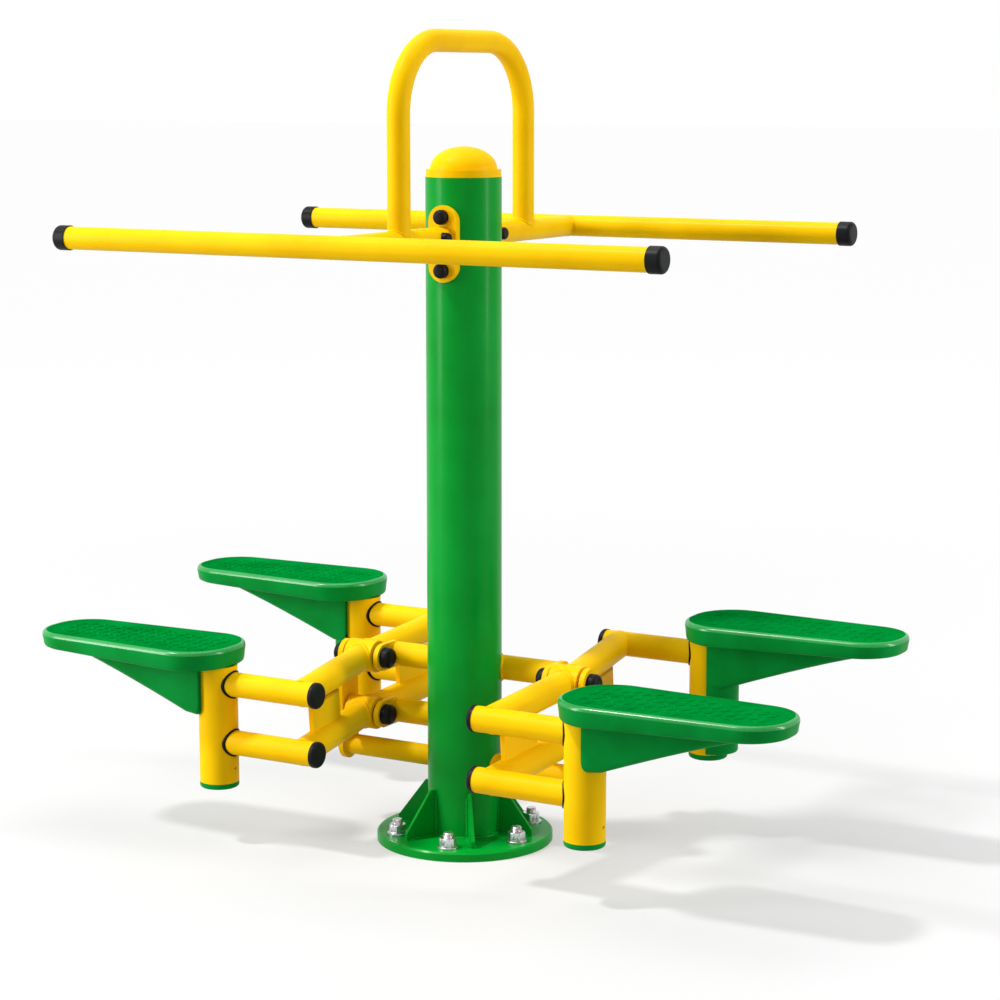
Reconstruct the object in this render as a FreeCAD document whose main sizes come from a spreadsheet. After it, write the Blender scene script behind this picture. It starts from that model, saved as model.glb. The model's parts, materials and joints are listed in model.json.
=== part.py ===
import FreeCAD, Part
import math
import os
import re
import Sketcher

# Outdoor stepper with two stations on one post. Millimetres, +Z up.
# The origin is the middle of the flange's underside. Handlebars and stations lie along X, the front is -Y.
# Each station is a parallelogram seesaw: two rockers on fixed axles carry two pedal posts that stay level.

SIZES = (
    # base and post
    ("flange_outer", 272, "base flange, outside diameter"),
    ("flange_thick", 14, "base flange, thickness"),
    ("flange_chamfer", 2.5, "base flange, bevel of the upper rim"),
    ("anchor_circle", 216, "pitch circle of the anchor holes"),
    ("anchor_hole", 18, "anchor hole diameter"),
    ("anchor_angle", 47, "angle of the first anchor hole from +X"),
    ("gusset_reach", 112, "radius of a gusset's outer edge"),
    ("gusset_height", 71, "gusset height on the post"),
    ("gusset_toe", 10, "gusset height at its outer edge"),
    ("gusset_head", 9, "gusset width at its upper end"),
    ("gusset_thick", 5, "gusset plate thickness"),
    ("gusset_angle", 20, "angle from an anchor hole to the next gusset"),
    ("post_outer", 114.3, "main post, outside diameter"),
    ("post_wall", 4, "main post, wall"),
    ("post_above", 88, "main post, height of its upper end above the handlebars' axes"),
    ("cap_collar", 11, "post cap, height of the collar"),
    ("cap_collar_outer", 113, "post cap, collar diameter"),
    ("dome_outer", 101, "post cap, dome diameter"),
    ("dome_height", 34, "post cap, dome height"),
    ("cap_spigot", 25, "post cap, depth of the spigot in the post"),
    ("cap_spigot_wall", 4, "post cap, wall of the spigot"),
    ("snug_gap", 0.15, "radial gap of pieces pushed into each other"),
    # handlebars and hoop
    ("grip_outer", 33.7, "handle tubes, outside diameter"),
    ("grip_wall", 2.6, "handle tubes, wall"),
    ("grip_height", 930, "height of the handlebars' axes"),
    ("bar_spread", 333, "distance of a handlebar's axis from the post's axis"),
    ("bar_length", 955, "length of a handlebar tube"),
    ("rear_bar_shift", -10, "shift of the rear handlebar along X"),
    ("end_cap_outer", 37, "handlebar end cap, diameter"),
    ("end_cap_length", 22, "handlebar end cap, length outside the tube"),
    ("end_cap_round", 6, "handlebar end cap, rounded edge"),
    ("end_cap_plug", 16, "handlebar end cap, depth inside the tube"),
    ("hoop_half_width", 182, "hoop leg's distance from the post's axis"),
    ("hoop_height", 1217, "height of the hoop's upper run"),
    ("hoop_bend", 106, "bend radius of the hoop"),
    ("plate_width", 48, "handle bracket, width of the plate"),
    ("plate_height", 114, "handle bracket, height of the plate"),
    ("plate_thick", 5, "handle bracket, thickness over the post's crest"),
    ("plate_drop", 9, "handle bracket, the plate's middle below the handlebars' axes"),
    ("plate_bolt_spacing", 79, "handle bracket, distance of the two bolts"),
    ("plate_bolt", 10, "handle bracket, bolt diameter"),
    ("plate_head_flats", 16, "handle bracket bolt, width across the flats"),
    ("plate_head", 6.4, "handle bracket bolt, head height"),
    ("plate_nut", 8, "handle bracket bolt, nut height"),
    ("plate_cap_outer", 22, "handle bracket bolt cap, diameter"),
    ("plate_cap_height", 13.5, "handle bracket bolt cap, height"),
    ("plate_cap_round", 7, "handle bracket bolt cap, rounded edge"),
    ("spigot_length", 45, "length of the spigot inside an arm tube"),
    ("spigot_wall", 3, "wall of the spigot"),
    ("lock_place", 84, "distance of a locking bolt from the post's axis"),
    ("lock_bolt", 8, "locking bolt diameter"),
    ("lock_head_flats", 13, "locking bolt, width across the flats"),
    ("lock_head", 5, "locking bolt, head height"),
    ("lock_nut", 5, "locking bolt, nut height"),
    ("lock_cap_outer", 19, "locking bolt cap, diameter"),
    ("lock_cap_height", 9.5, "locking bolt cap, height over the arm tube's crest"),
    ("lock_cap_skirt", 3.5, "locking bolt cap, depth below the arm tube's crest"),
    ("lock_cap_round", 4.5, "locking bolt cap, rounded edge"),
    # fixed side of a station
    ("pivot_height", 268, "height of the upper axles"),
    ("pivot_spacing", 91, "distance between upper and lower axle"),
    ("pivot_tube_outer", 38, "pivot arm tube, outside diameter"),
    ("pivot_tube_wall", 3, "pivot arm tube, wall"),
    ("pivot_tube_offset", 36, "distance of a pivot arm tube from its axle"),
    ("lug_thick", 8, "thickness of the lug on a pivot arm"),
    ("lug_width", 42, "width of the lug on a pivot arm"),
    ("stay_outer", 32, "stay tube, outside diameter"),
    ("stay_wall", 3, "stay tube, wall"),
    ("stay_height", 122, "height of the stay tube's axis"),
    ("stay_overhang", 6, "stay tube's length past the outer plate"),
    ("outer_plate_thick", 8, "outer plate, thickness"),
    ("outer_plate_width", 46, "outer plate, width"),
    ("axle_size", 17, "axle diameter"),
    ("axle_head_flats", 24, "axle head and nut, width across the flats"),
    ("axle_head", 10, "axle head height"),
    ("axle_nut", 10, "axle nut height"),
    ("axle_cap_outer", 32, "axle cap, diameter"),
    ("axle_cap_height", 16, "axle cap, height"),
    ("axle_cap_round", 8, "axle cap, rounded edge"),
    ("cap_wall", 1.6, "wall of the hollow caps"),
    ("spacer_thick", 4, "spacer between a hub and its lug or plate"),
    ("spacer_outer", 24, "spacer diameter"),
    # rockers
    ("rocker_plane", 182, "distance of a rocker hub's middle from the post's axis"),
    ("hub_outer", 50, "rocker hub, outside diameter"),
    ("hub_length", 48, "rocker hub, length"),
    ("hub_bore", 25, "rocker hub, bore between the bearings"),
    ("bearing_outer", 35, "bearing, outside diameter"),
    ("bearing_width", 11, "bearing, width"),
    ("run_gap", 0.05, "radial gap of a shaft in its bearing"),
    ("side_gap", 0.3, "gap between faces that pass each other"),
    ("beam_outer", 42.4, "rocker beam, outside diameter"),
    ("beam_wall", 3.2, "rocker beam, wall"),
    ("arm_reach", 205, "distance of a spindle from the rocker's axle"),
    ("beam_splay", 5, "angle in plan by which the beams slant from the hub towards the post"),
    ("rest_tilt", 5, "tilt of the rockers at rest, rear end up"),
    ("full_tilt", 18, "tilt at which a rocker meets its stop"),
    ("spindle_outer", 38, "spindle tube, outside diameter"),
    ("spindle_wall", 3, "spindle tube, wall"),
    ("spindle_overhang", 2, "spindle's length past the beam, towards the post"),
    ("spindle_cap_outer", 40, "spindle cap, diameter"),
    ("spindle_cap_length", 9, "spindle cap, length outside the tube"),
    ("spindle_cap_round", 5, "spindle cap, rounded edge"),
    ("spindle_cap_plug", 14, "spindle cap, depth inside the tube"),
    ("stop_place", 130, "distance of a stop plate's middle from the axle"),
    ("stop_length", 84, "length of a stop plate"),
    ("stop_thick", 8, "thickness of a stop plate"),
    ("pad_thick", 4, "stop pad, thickness"),
    ("pad_width", 8, "stop pad, width"),
    ("stop_gap", 0.6, "room left at full tilt between a pad and the beam"),
    # pedals
    ("pedal_plane", 318, "distance of a pedal post from the main post's axis"),
    ("pedal_post_outer", 60.3, "pedal post, outside diameter"),
    ("pedal_post_wall", 3, "pedal post, wall"),
    ("pedal_post_above", 28, "pedal post's upper end above the upper spindle"),
    ("pedal_post_below", 63, "pedal post's lower end below the lower spindle"),
    ("drain_hole", 5, "drain hole diameter"),
    ("drain_height", 22, "drain hole's height above the post's lower end"),
    ("spindle_gap", 0.3, "radial gap of a spindle in its bush"),
    ("spindle_end_gap", 1.5, "gap between a spindle's end and its bush's end"),
    ("bush_wall", 2.4, "bush wall"),
    ("bush_proud", 2, "how far a bush stands out of the pedal post"),
    ("plug_height", 9, "bottom plug, height below the post"),
    ("plug_round", 4, "bottom plug, rounded edge"),
    ("plug_depth", 15, "bottom plug, depth inside the post"),
    ("pedal_length", 349, "footplate length"),
    ("pedal_inboard", 30.5, "footplate's length towards the post from the pedal post's axis"),
    ("pedal_inner_width", 164, "footplate width at the inner end"),
    ("pedal_outer_width", 132, "footplate width at the outer end"),
    ("pedal_inner_round", 70, "footplate, inner corner radius"),
    ("pedal_outer_round", 62, "footplate, outer corner radius"),
    ("pedal_height", 31, "footplate height at the pedal post"),
    ("pedal_taper", 7, "footplate, rise of its underside towards the outer end"),
    ("pedal_rim_round", 6, "footplate, rounded upper rim"),
    ("tread_inset", 15, "width of the smooth rim around the tread"),
    ("tread_depth", 2, "depth of the tread's recess"),
    ("bracket_depth", 76, "wedge bracket, depth at the pedal post"),
    ("bracket_width", 72, "wedge bracket, width at the pedal post"),
    ("bracket_start", 12, "wedge bracket, distance of its inner end from the pedal post's axis"),
    ("bracket_flat", 40, "wedge bracket, length of its nearly level part"),
    ("bracket_flat_depth", 73, "wedge bracket, depth where the slope begins"),
    ("bracket_flat_width", 69, "wedge bracket, width where the slope begins"),
    ("bracket_reach", 276, "wedge bracket, length from the pedal post's axis"),
    ("bracket_tip_rise", 3, "wedge bracket, height of its tip's underside above the post's upper end"),
    ("bracket_tip_width", 50, "wedge bracket, width at its tip"),
)

ANCHORS = 6
NEAR = 0.001
POST_TOP = "(grip_height + post_above)"
SIDES = (("left", -1), ("right", 1))
ENDS = (("front", -1), ("rear", 1))
LEVELS = (("upper", "pivot_height"), ("lower", "pivot_height - pivot_spacing"))

Vector = FreeCAD.Vector
Rotation = FreeCAD.Rotation
UPRIGHT = Rotation()
DOWNWARD = Rotation(Vector(1, 0, 0), 180)
ALONG_X = {1: Rotation(Vector(0, 1, 0), 90), -1: Rotation(Vector(0, 1, 0), -90)}
ALONG_Y = {1: Rotation(Vector(1, 0, 0), -90), -1: Rotation(Vector(1, 0, 0), 90)}
HALF_TURN = Rotation(Vector(0, 0, 1), 180)

doc = FreeCAD.newDocument("OutdoorStepper")
sheet = doc.addObject("Spreadsheet::Sheet", "Sizes")
for row, (alias, number, meaning) in enumerate(SIZES, start=1):
    sheet.set(f"A{row}", str(number))
    sheet.setAlias(f"A{row}", alias)
    sheet.set(f"B{row}", meaning)
doc.recompute()

ALIASES = {alias for alias, _, _ in SIZES}
NODES = []


def bound(expression):
    """The expression with every size's name pointing at its cell in the sheet."""
    return re.sub(r"[a-z_]+", lambda word: f"Sizes.{word[0]}" if word[0] in ALIASES else word[0], expression)


def bind(thing, prop, expression):
    """Ties one property to the sheet."""
    thing.setExpression(prop, bound(expression))


def signed(sign, expression):
    """The expression times +1 or -1."""
    return f"({expression})" if sign > 0 else f"-({expression})"


def place(thing, at, turn=UPRIGHT):
    """Turns a piece and ties its position to the sheet."""
    thing.Placement = FreeCAD.Placement(Vector(), turn)
    for axis, expression in zip("xyz", at):
        bind(thing, f"Placement.Base.{axis}", expression)
    return thing


def node(thing, label):
    """Names a finished sub-part and keeps it for the export."""
    thing.Label = label
    NODES.append(thing)
    return thing


def cylinder(name, diameter, length, at=("0", "0", "0"), turn=UPRIGHT):
    """A round bar that starts at a point and runs along the turned Z axis."""
    bar = doc.addObject("Part::Cylinder", name)
    bind(bar, "Radius", f"({diameter}) / 2")
    bind(bar, "Height", length)
    return place(bar, at, turn)


def box(name, sizes, middle):
    """A block with its middle at a point."""
    block = doc.addObject("Part::Box", name)
    for prop, size in zip(("Length", "Width", "Height"), sizes):
        bind(block, prop, size)
    return place(block, [f"{spot} - ({size}) / 2" for spot, size in zip(middle, sizes)])


def hexagon(name, flats, height, at, turn):
    """A six-sided head or nut."""
    prism = doc.addObject("Part::Prism", name)
    prism.Polygon = 6
    bind(prism, "Circumradius", f"({flats}) / 2 / cos(30)")
    bind(prism, "Height", height)
    return place(prism, at, turn)


def fuse(name, pieces):
    """Pieces welded or moulded into one."""
    joined = doc.addObject("Part::MultiFuse", name)
    joined.Shapes = pieces
    joined.Refine = True
    return joined


def cut(name, base, tools):
    """A piece less the tools."""
    rest = doc.addObject("Part::Cut", name)
    rest.Base = base
    rest.Tool = tools[0] if len(tools) == 1 else fuse(f"{name}_tools", tools)
    rest.Refine = True
    return rest


def group(name, pieces):
    """Separate solids that share one node."""
    compound = doc.addObject("Part::Compound", name)
    compound.Links = pieces
    return compound


def tube(name, outer, wall, length, at, turn):
    """A round tube, open at both ends."""
    skin = cylinder(f"{name}_skin", outer, length, at, turn)
    bore = cylinder(f"{name}_bore", f"{outer} - 2 * {wall}", length, at, turn)
    return cut(name, skin, [bore])


def sketch_on(body, name, role, offset="0"):
    """A sketch on one of the body's own origin planes, moved along the plane's normal."""
    sketch = body.newObject("Sketcher::SketchObject", name)
    plane = next(item for item in body.Origin.OriginFeatures if item.Role == role)
    sketch.AttachmentSupport = [(plane, "")]
    sketch.MapMode = "FlatFace"
    bind(sketch, "AttachmentOffset.Base.z", offset)
    return sketch


def pin_point(sketch, element, point, x, y):
    """Ties one point of a sketch to the sheet."""
    spot = sketch.getPoint(element, point)
    for kind, start, expression in (("DistanceX", spot.x, x), ("DistanceY", spot.y, y)):
        index = sketch.addConstraint(Sketcher.Constraint(kind, -1, 1, element, point, start))
        bind(sketch, f"Constraints[{index}]", expression)


def outline(sketch, points):
    """A closed outline of straight lines through points tied to the sheet."""
    count = len(points)
    corner = [Vector(1, 0, 0), Vector(1, 1, 0), Vector(0, 1, 0)]
    for index in range(count):
        start = corner[index % 3] * (index + 1)
        end = corner[(index + 1) % 3] * (index + 2)
        sketch.addGeometry(Part.LineSegment(start, end))
    for index in range(count):
        sketch.addConstraint(Sketcher.Constraint("Coincident", index, 2, (index + 1) % count, 1))
    for index, (x, y) in enumerate(points):
        pin_point(sketch, index, 1, x, y)


def circle(sketch, diameter, x="0", y="0"):
    """A circle tied to the sheet."""
    drawn = Part.Circle()
    index = sketch.addGeometry(drawn)
    pin_point(sketch, index, 3, x, y)
    size = sketch.addConstraint(Sketcher.Constraint("Diameter", index, 2 * drawn.Radius))
    bind(sketch, f"Constraints[{size}]", diameter)


def feature(body, kind, name, profile, length):
    """A pad or pocket of a sketch."""
    result = body.newObject(f"PartDesign::{kind}", name)
    result.Profile = profile
    bind(result, "Length", length)
    return result


def round_off(body, name, radius, wanted, kind="Fillet"):
    """A fillet or chamfer on the edges of the body so far that a test of (edge, shape) picks."""
    body.recompute(True)
    base = body.Tip
    shape = base.Shape
    edges = [f"Edge{index}" for index, edge in enumerate(shape.Edges, start=1) if wanted(edge, shape)]
    if not edges:
        raise RuntimeError(f"{name}: no edge to round")
    result = body.newObject(f"PartDesign::{kind}", name)
    result.Base = (base, edges)
    bind(result, "Radius" if kind == "Fillet" else "Size", radius)
    return result


def is_upper_rim(edge, shape):
    """True for a circle at the shape's upper end."""
    return isinstance(edge.Curve, Part.Circle) and abs(edge.Curve.Center.z - shape.BoundBox.ZMax) < NEAR


def is_upright(edge):
    """True for a straight vertical edge."""
    return isinstance(edge.Curve, Part.Line) and abs(edge.Curve.Direction.z) > 1 - NEAR


def turned(name, points, rounding):
    """A piece turned from an outline of (radius, height) points, its upper edge rounded."""
    body = doc.addObject("PartDesign::Body", name)
    profile = sketch_on(body, f"{name}_profile", "XZ_Plane")
    outline(profile, points)
    lathe = body.newObject("PartDesign::Revolution", f"{name}_turning")
    lathe.Profile = profile
    lathe.ReferenceAxis = (profile, ["V_Axis"])
    lathe.Angle = 360
    round_off(body, f"{name}_round", rounding, is_upper_rim)
    return body


def plug_cap(name, outer, length, rounding, plug_diameter, plug_depth):
    """A cap with a plug below it; its seat is at height 0."""
    points = [
        ("0", f"-({plug_depth})"),
        (f"({plug_diameter}) / 2", f"-({plug_depth})"),
        (f"({plug_diameter}) / 2", "0"),
        (f"({outer}) / 2", "0"),
        (f"({outer}) / 2", length),
        ("0", length),
    ]
    return turned(name, points, rounding)


def hollow_cap(name, outer, height, rounding):
    """A hollow cap that sits over a bolt head; its seat is at height 0."""
    points = [
        ("0", f"{height} - cap_wall"),
        (f"{outer} / 2 - cap_wall", f"{height} - cap_wall - {rounding} / 2"),
        (f"{outer} / 2 - cap_wall", "0"),
        (f"{outer} / 2", "0"),
        (f"{outer} / 2", height),
        ("0", height),
    ]
    return turned(name, points, rounding)


# Base: flange, gussets, post and domed cap


def build_flange():
    """Round flange with its anchor holes and a bevelled rim."""
    body = doc.addObject("PartDesign::Body", "base_flange")
    disc = sketch_on(body, "flange_disc", "XY_Plane")
    circle(disc, "flange_outer")
    feature(body, "Pad", "flange_pad", disc, "flange_thick")
    round_off(body, "flange_bevel", "flange_chamfer", is_upper_rim, "Chamfer")
    hole = sketch_on(body, "anchor_hole_sketch", "XY_Plane")
    circle(hole, "anchor_hole", "anchor_circle / 2")
    bore = feature(body, "Pocket", "anchor_bore", hole, "flange_thick")
    bore.Reversed = True
    ring = body.newObject("PartDesign::PolarPattern", "anchor_ring")
    ring.Originals = [bore]
    ring.Axis = (hole, ["N_Axis"])
    ring.Angle = 360
    ring.Occurrences = ANCHORS
    body.Tip = ring
    body.Placement = FreeCAD.Placement(Vector(), Rotation(Vector(0, 0, 1), 10))
    bind(body, "Placement.Rotation.Angle", "anchor_angle")
    return node(body, "base_flange")


def build_gussets():
    """Triangular gussets between the anchor holes, coped to the post."""
    body = doc.addObject("PartDesign::Body", "gusset_plates")
    body.AllowCompound = True
    side = sketch_on(body, "gusset_side", "XZ_Plane")
    root = "post_outer / 2 - post_wall"
    points = [
        (root, "flange_thick"),
        ("gusset_reach", "flange_thick"),
        ("gusset_reach", "flange_thick + gusset_toe"),
        ("post_outer / 2 + gusset_head", "flange_thick + gusset_height"),
        (root, "flange_thick + gusset_height"),
    ]
    outline(side, points)
    plate = feature(body, "Pad", "gusset_pad", side, "gusset_thick")
    plate.SideType = "Symmetric"
    ring = body.newObject("PartDesign::PolarPattern", "gusset_ring")
    ring.Originals = [plate]
    ring.Axis = (side, ["V_Axis"])
    ring.Angle = 360
    ring.Occurrences = ANCHORS
    body.Tip = ring
    body.Placement = FreeCAD.Placement(Vector(), Rotation(Vector(0, 0, 1), 10))
    bind(body, "Placement.Rotation.Angle", "anchor_angle + gusset_angle")
    core = cylinder("gusset_core", "post_outer", POST_TOP)
    return node(cut("base_gussets_cut", body, [core]), "base_gussets")


PLATE_MIDDLE = "grip_height - plate_drop"


def plate_bolt_heights():
    """Heights of the two through bolts of the handle brackets."""
    return [f"{PLATE_MIDDLE} {sign} plate_bolt_spacing / 2" for sign in "+-"]


def build_post():
    """Main post with the through holes of the handle brackets, and the cap in its upper end."""
    length = f"{POST_TOP} - flange_thick"
    foot = ("0", "0", "flange_thick")
    tools = [cylinder("post_bore", "post_outer - 2 * post_wall", length, foot)]
    for index, height in enumerate(plate_bolt_heights()):
        name = f"post_bolt_hole_{index}"
        start = ("0", "-post_outer", height)
        tools.append(cylinder(name, "plate_bolt + 2 * snug_gap", "2 * post_outer", start, ALONG_Y[1]))
    node(cut("main_post_cut", cylinder("post_skin", "post_outer", length, foot), tools), "main_post")

    dome = doc.addObject("Part::Ellipsoid", "cap_dome")
    bind(dome, "Radius1", "dome_height")
    bind(dome, "Radius2", "dome_outer / 2")
    bind(dome, "Radius3", "dome_outer / 2")
    dome.Angle1 = 0
    place(dome, ("0", "0", f"{POST_TOP} + cap_collar"))
    collar = cylinder("cap_collar_ring", "cap_collar_outer", "cap_collar", ("0", "0", POST_TOP))
    spigot_outer = "post_outer - 2 * post_wall - 2 * snug_gap"
    spigot_foot = ("0", "0", f"{POST_TOP} - cap_spigot")
    spigot = cylinder("cap_spigot_skin", spigot_outer, "cap_spigot", spigot_foot)
    hollow = cylinder("cap_spigot_bore", f"{spigot_outer} - 2 * cap_spigot_wall", "cap_spigot", spigot_foot)
    node(cut("post_cap_cut", fuse("cap_body", [dome, collar, spigot]), [hollow]), "post_cap")


# Handlebars: saddle brackets, arm tubes, bars, hoop, bolts and caps


def build_bracket(end, sign):
    """Saddle plate on the post with the spigot that carries an arm tube."""
    face = "post_outer / 2 + plate_thick"
    middle = "plate_height / 2 - plate_width / 2"
    pieces = []
    for index, way in enumerate("+-"):
        start = ("0", "0", f"{PLATE_MIDDLE} {way} ({middle})")
        pieces.append(cylinder(f"{end}_plate_end_{index}", "plate_width", face, start, ALONG_Y[sign]))
    block_middle = ("0", signed(sign, f"({face}) / 2"), PLATE_MIDDLE)
    block_size = ("plate_width", face, "plate_height - plate_width")
    pieces.append(box(f"{end}_plate_block", block_size, block_middle))
    spigot_outer = "grip_outer - 2 * grip_wall - 2 * snug_gap"
    spigot_length = f"{face} + spigot_length"
    root = ("0", "0", "grip_height")
    pieces.append(cylinder(f"{end}_spigot", spigot_outer, spigot_length, root, ALONG_Y[sign]))
    tools = [cylinder(f"{end}_saddle", "post_outer", POST_TOP)]
    spigot_bore = f"{spigot_outer} - 2 * spigot_wall"
    tip = ("0", signed(sign, face), "grip_height")
    tools.append(cylinder(f"{end}_spigot_bore", spigot_bore, "spigot_length", tip, ALONG_Y[sign]))
    for index, height in enumerate(plate_bolt_heights()):
        hole = "plate_bolt + 2 * snug_gap"
        start = ("0", "0", height)
        tools.append(cylinder(f"{end}_plate_hole_{index}", hole, "post_outer", start, ALONG_Y[sign]))
    tools.append(lock_hole(f"{end}_spigot_lock", sign))
    body = fuse(f"{end}_bracket_body", pieces)
    node(cut(f"{end}_bracket_cut", body, tools), f"{end}_handle_bracket")


def lock_hole(name, sign):
    """The cross hole of a locking bolt."""
    start = ("-grip_outer", signed(sign, "lock_place"), "grip_height")
    return cylinder(name, "lock_bolt + 2 * snug_gap", "2 * grip_outer", start, ALONG_X[1])


def build_arm_and_bar(end, sign):
    """Arm tube over the spigot, coped to its handlebar, and the handlebar."""
    face = "post_outer / 2 + plate_thick"
    start = ("0", signed(sign, face), "grip_height")
    length = f"bar_spread - ({face})"
    skin = cylinder(f"{end}_arm_skin", "grip_outer", length, start, ALONG_Y[sign])
    bore = cylinder(f"{end}_arm_bore", "grip_outer - 2 * grip_wall", length, start, ALONG_Y[sign])
    bar_middle = "rear_bar_shift" if sign > 0 else "0"
    bar_start = (f"{bar_middle} - bar_length / 2", signed(sign, "bar_spread"), "grip_height")
    cope = cylinder(f"{end}_arm_cope", "grip_outer", "bar_length", bar_start, ALONG_X[1])
    lock = lock_hole(f"{end}_arm_lock", sign)
    node(cut(f"{end}_arm_cut", skin, [bore, cope, lock]), f"{end}_arm_tube")
    bar = tube(f"{end}_bar", "grip_outer", "grip_wall", "bar_length", bar_start, ALONG_X[1])
    node(bar, f"{end}_handlebar")
    caps = []
    plug = "grip_outer - 2 * grip_wall - 2 * snug_gap"
    for side, way in SIDES:
        name = f"{end}_{side}_bar_cap"
        cap = plug_cap(name, "end_cap_outer", "end_cap_length", "end_cap_round", plug, "end_cap_plug")
        spot = (f"{bar_middle} + {signed(way, 'bar_length / 2')}", signed(sign, "bar_spread"), "grip_height")
        caps.append(place(cap, spot, ALONG_X[way]))
    return caps


def build_hoop():
    """Hoop bent from one tube, its legs coped to the arm tubes."""
    body = doc.addObject("PartDesign::Body", "hoop_body")
    path = sketch_on(body, "hoop_path", "YZ_Plane")
    # drawn close to its place first, then tied to the sheet
    half, low, top, bend = 160, 930, 1210, 100
    quarter = math.pi / 2
    axis = Vector(0, 0, 1)
    left_bend = Part.Circle(Vector(bend - half, top - bend, 0), axis, bend)
    right_bend = Part.Circle(Vector(half - bend, top - bend, 0), axis, bend)
    path.addGeometry(Part.LineSegment(Vector(-half, low, 0), Vector(-half, top - bend, 0)))
    path.addGeometry(Part.ArcOfCircle(left_bend, quarter, 2 * quarter))
    path.addGeometry(Part.LineSegment(Vector(bend - half, top, 0), Vector(half - bend, top, 0)))
    path.addGeometry(Part.ArcOfCircle(right_bend, 0, quarter))
    path.addGeometry(Part.LineSegment(Vector(half, top - bend, 0), Vector(half, low, 0)))
    for first, first_point, second, second_point in ((0, 2, 1, 2), (1, 1, 2, 1), (2, 2, 3, 2), (3, 1, 4, 1)):
        path.addConstraint(Sketcher.Constraint("Tangent", first, first_point, second, second_point))
    path.addConstraint(Sketcher.Constraint("Vertical", 0))
    path.addConstraint(Sketcher.Constraint("Vertical", 4))
    path.addConstraint(Sketcher.Constraint("Horizontal", 2))
    pin_point(path, 0, 1, "-hoop_half_width", "grip_height")
    pin_point(path, 4, 2, "hoop_half_width", "grip_height")
    for arc in (1, 3):
        index = path.addConstraint(Sketcher.Constraint("Radius", arc, float(bend)))
        bind(path, f"Constraints[{index}]", "hoop_bend")
    index = path.addConstraint(Sketcher.Constraint("DistanceY", -1, 1, 2, 1, float(top)))
    bind(path, f"Constraints[{index}]", "hoop_height")
    ring = sketch_on(body, "hoop_ring", "XY_Plane", "grip_height")
    circle(ring, "grip_outer", "0", "-hoop_half_width")
    circle(ring, "grip_outer - 2 * grip_wall", "0", "-hoop_half_width")
    pipe = body.newObject("PartDesign::AdditivePipe", "hoop_pipe")
    pipe.Profile = ring
    pipe.Spine = path
    start = ("0", "-2 * hoop_half_width", "grip_height")
    arms = cylinder("hoop_cope", "grip_outer", "4 * hoop_half_width", start, ALONG_Y[1])
    node(cut("hoop_cut", body, [arms]), "hoop_handle")


def build_handle_fasteners():
    """Through bolts of the brackets and locking bolts of the arms, each under black caps."""
    face = "post_outer / 2 + plate_thick"
    bolts, caps = [], []
    for index, height in enumerate(plate_bolt_heights()):
        near = ("0", f"-({face})", height)
        far = ("0", face, height)
        head = hexagon(f"plate_head_{index}", "plate_head_flats", "plate_head", near, ALONG_Y[-1])
        shank = cylinder(f"plate_shank_{index}", "plate_bolt", f"2 * ({face}) + plate_nut", near, ALONG_Y[1])
        bolts.append(fuse(f"plate_bolt_{index}", [head, shank]))
        blank = hexagon(f"plate_nut_blank_{index}", "plate_head_flats", "plate_nut", far, ALONG_Y[1])
        bore = cylinder(f"plate_nut_bore_{index}", "plate_bolt", "plate_nut", far, ALONG_Y[1])
        bolts.append(cut(f"plate_nut_{index}", blank, [bore]))
        for end, sign in ENDS:
            name = f"{end}_plate_cap_{index}"
            cap = hollow_cap(name, "plate_cap_outer", "plate_cap_height", "plate_cap_round")
            caps.append(place(cap, ("0", signed(sign, face), height), ALONG_Y[sign]))
    node(group("bracket_bolt_set", bolts), "bracket_bolts")
    node(group("bracket_cap_set", caps), "bracket_bolt_caps")

    bolts, caps = [], []
    for end, sign in ENDS:
        across = signed(sign, "lock_place")
        near = ("grip_outer / 2", across, "grip_height")
        far = ("-grip_outer / 2", across, "grip_height")
        head = hexagon(f"{end}_lock_head", "lock_head_flats", "lock_head", near, ALONG_X[1])
        shank = cylinder(f"{end}_lock_shank", "lock_bolt", "grip_outer + lock_nut", near, ALONG_X[-1])
        bolts.append(fuse(f"{end}_lock_bolt", [head, shank]))
        nut = hexagon(f"{end}_lock_nut_blank", "lock_head_flats", "lock_nut", far, ALONG_X[-1])
        bore = cylinder(f"{end}_lock_nut_bore", "lock_bolt", "lock_nut", far, ALONG_X[-1])
        bolts.append(cut(f"{end}_lock_nut", nut, [bore]))
        for side, way in SIDES:
            name = f"{end}_{side}_lock_cap"
            tall = "(lock_cap_height + lock_cap_skirt)"
            blank = hollow_cap(f"{name}_blank", "lock_cap_outer", tall, "lock_cap_round")
            foot = (signed(way, "grip_outer / 2 - lock_cap_skirt"), across, "grip_height")
            place(blank, foot, ALONG_X[way])
            root = ("0", "0", "grip_height")
            arm = cylinder(f"{name}_cope", "grip_outer", "bar_spread", root, ALONG_Y[sign])
            caps.append(cut(name, blank, [arm]))
    node(group("arm_lock_bolt_set", bolts), "arm_lock_bolts")
    node(group("arm_lock_cap_set", caps), "arm_lock_caps")


# Fixed side of a station: pivot arms, stay, outer plate, axles

LUG_FACE = "rocker_plane - hub_length / 2 - spacer_thick"
PLATE_FACE = "rocker_plane + hub_length / 2 + spacer_thick"


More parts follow.
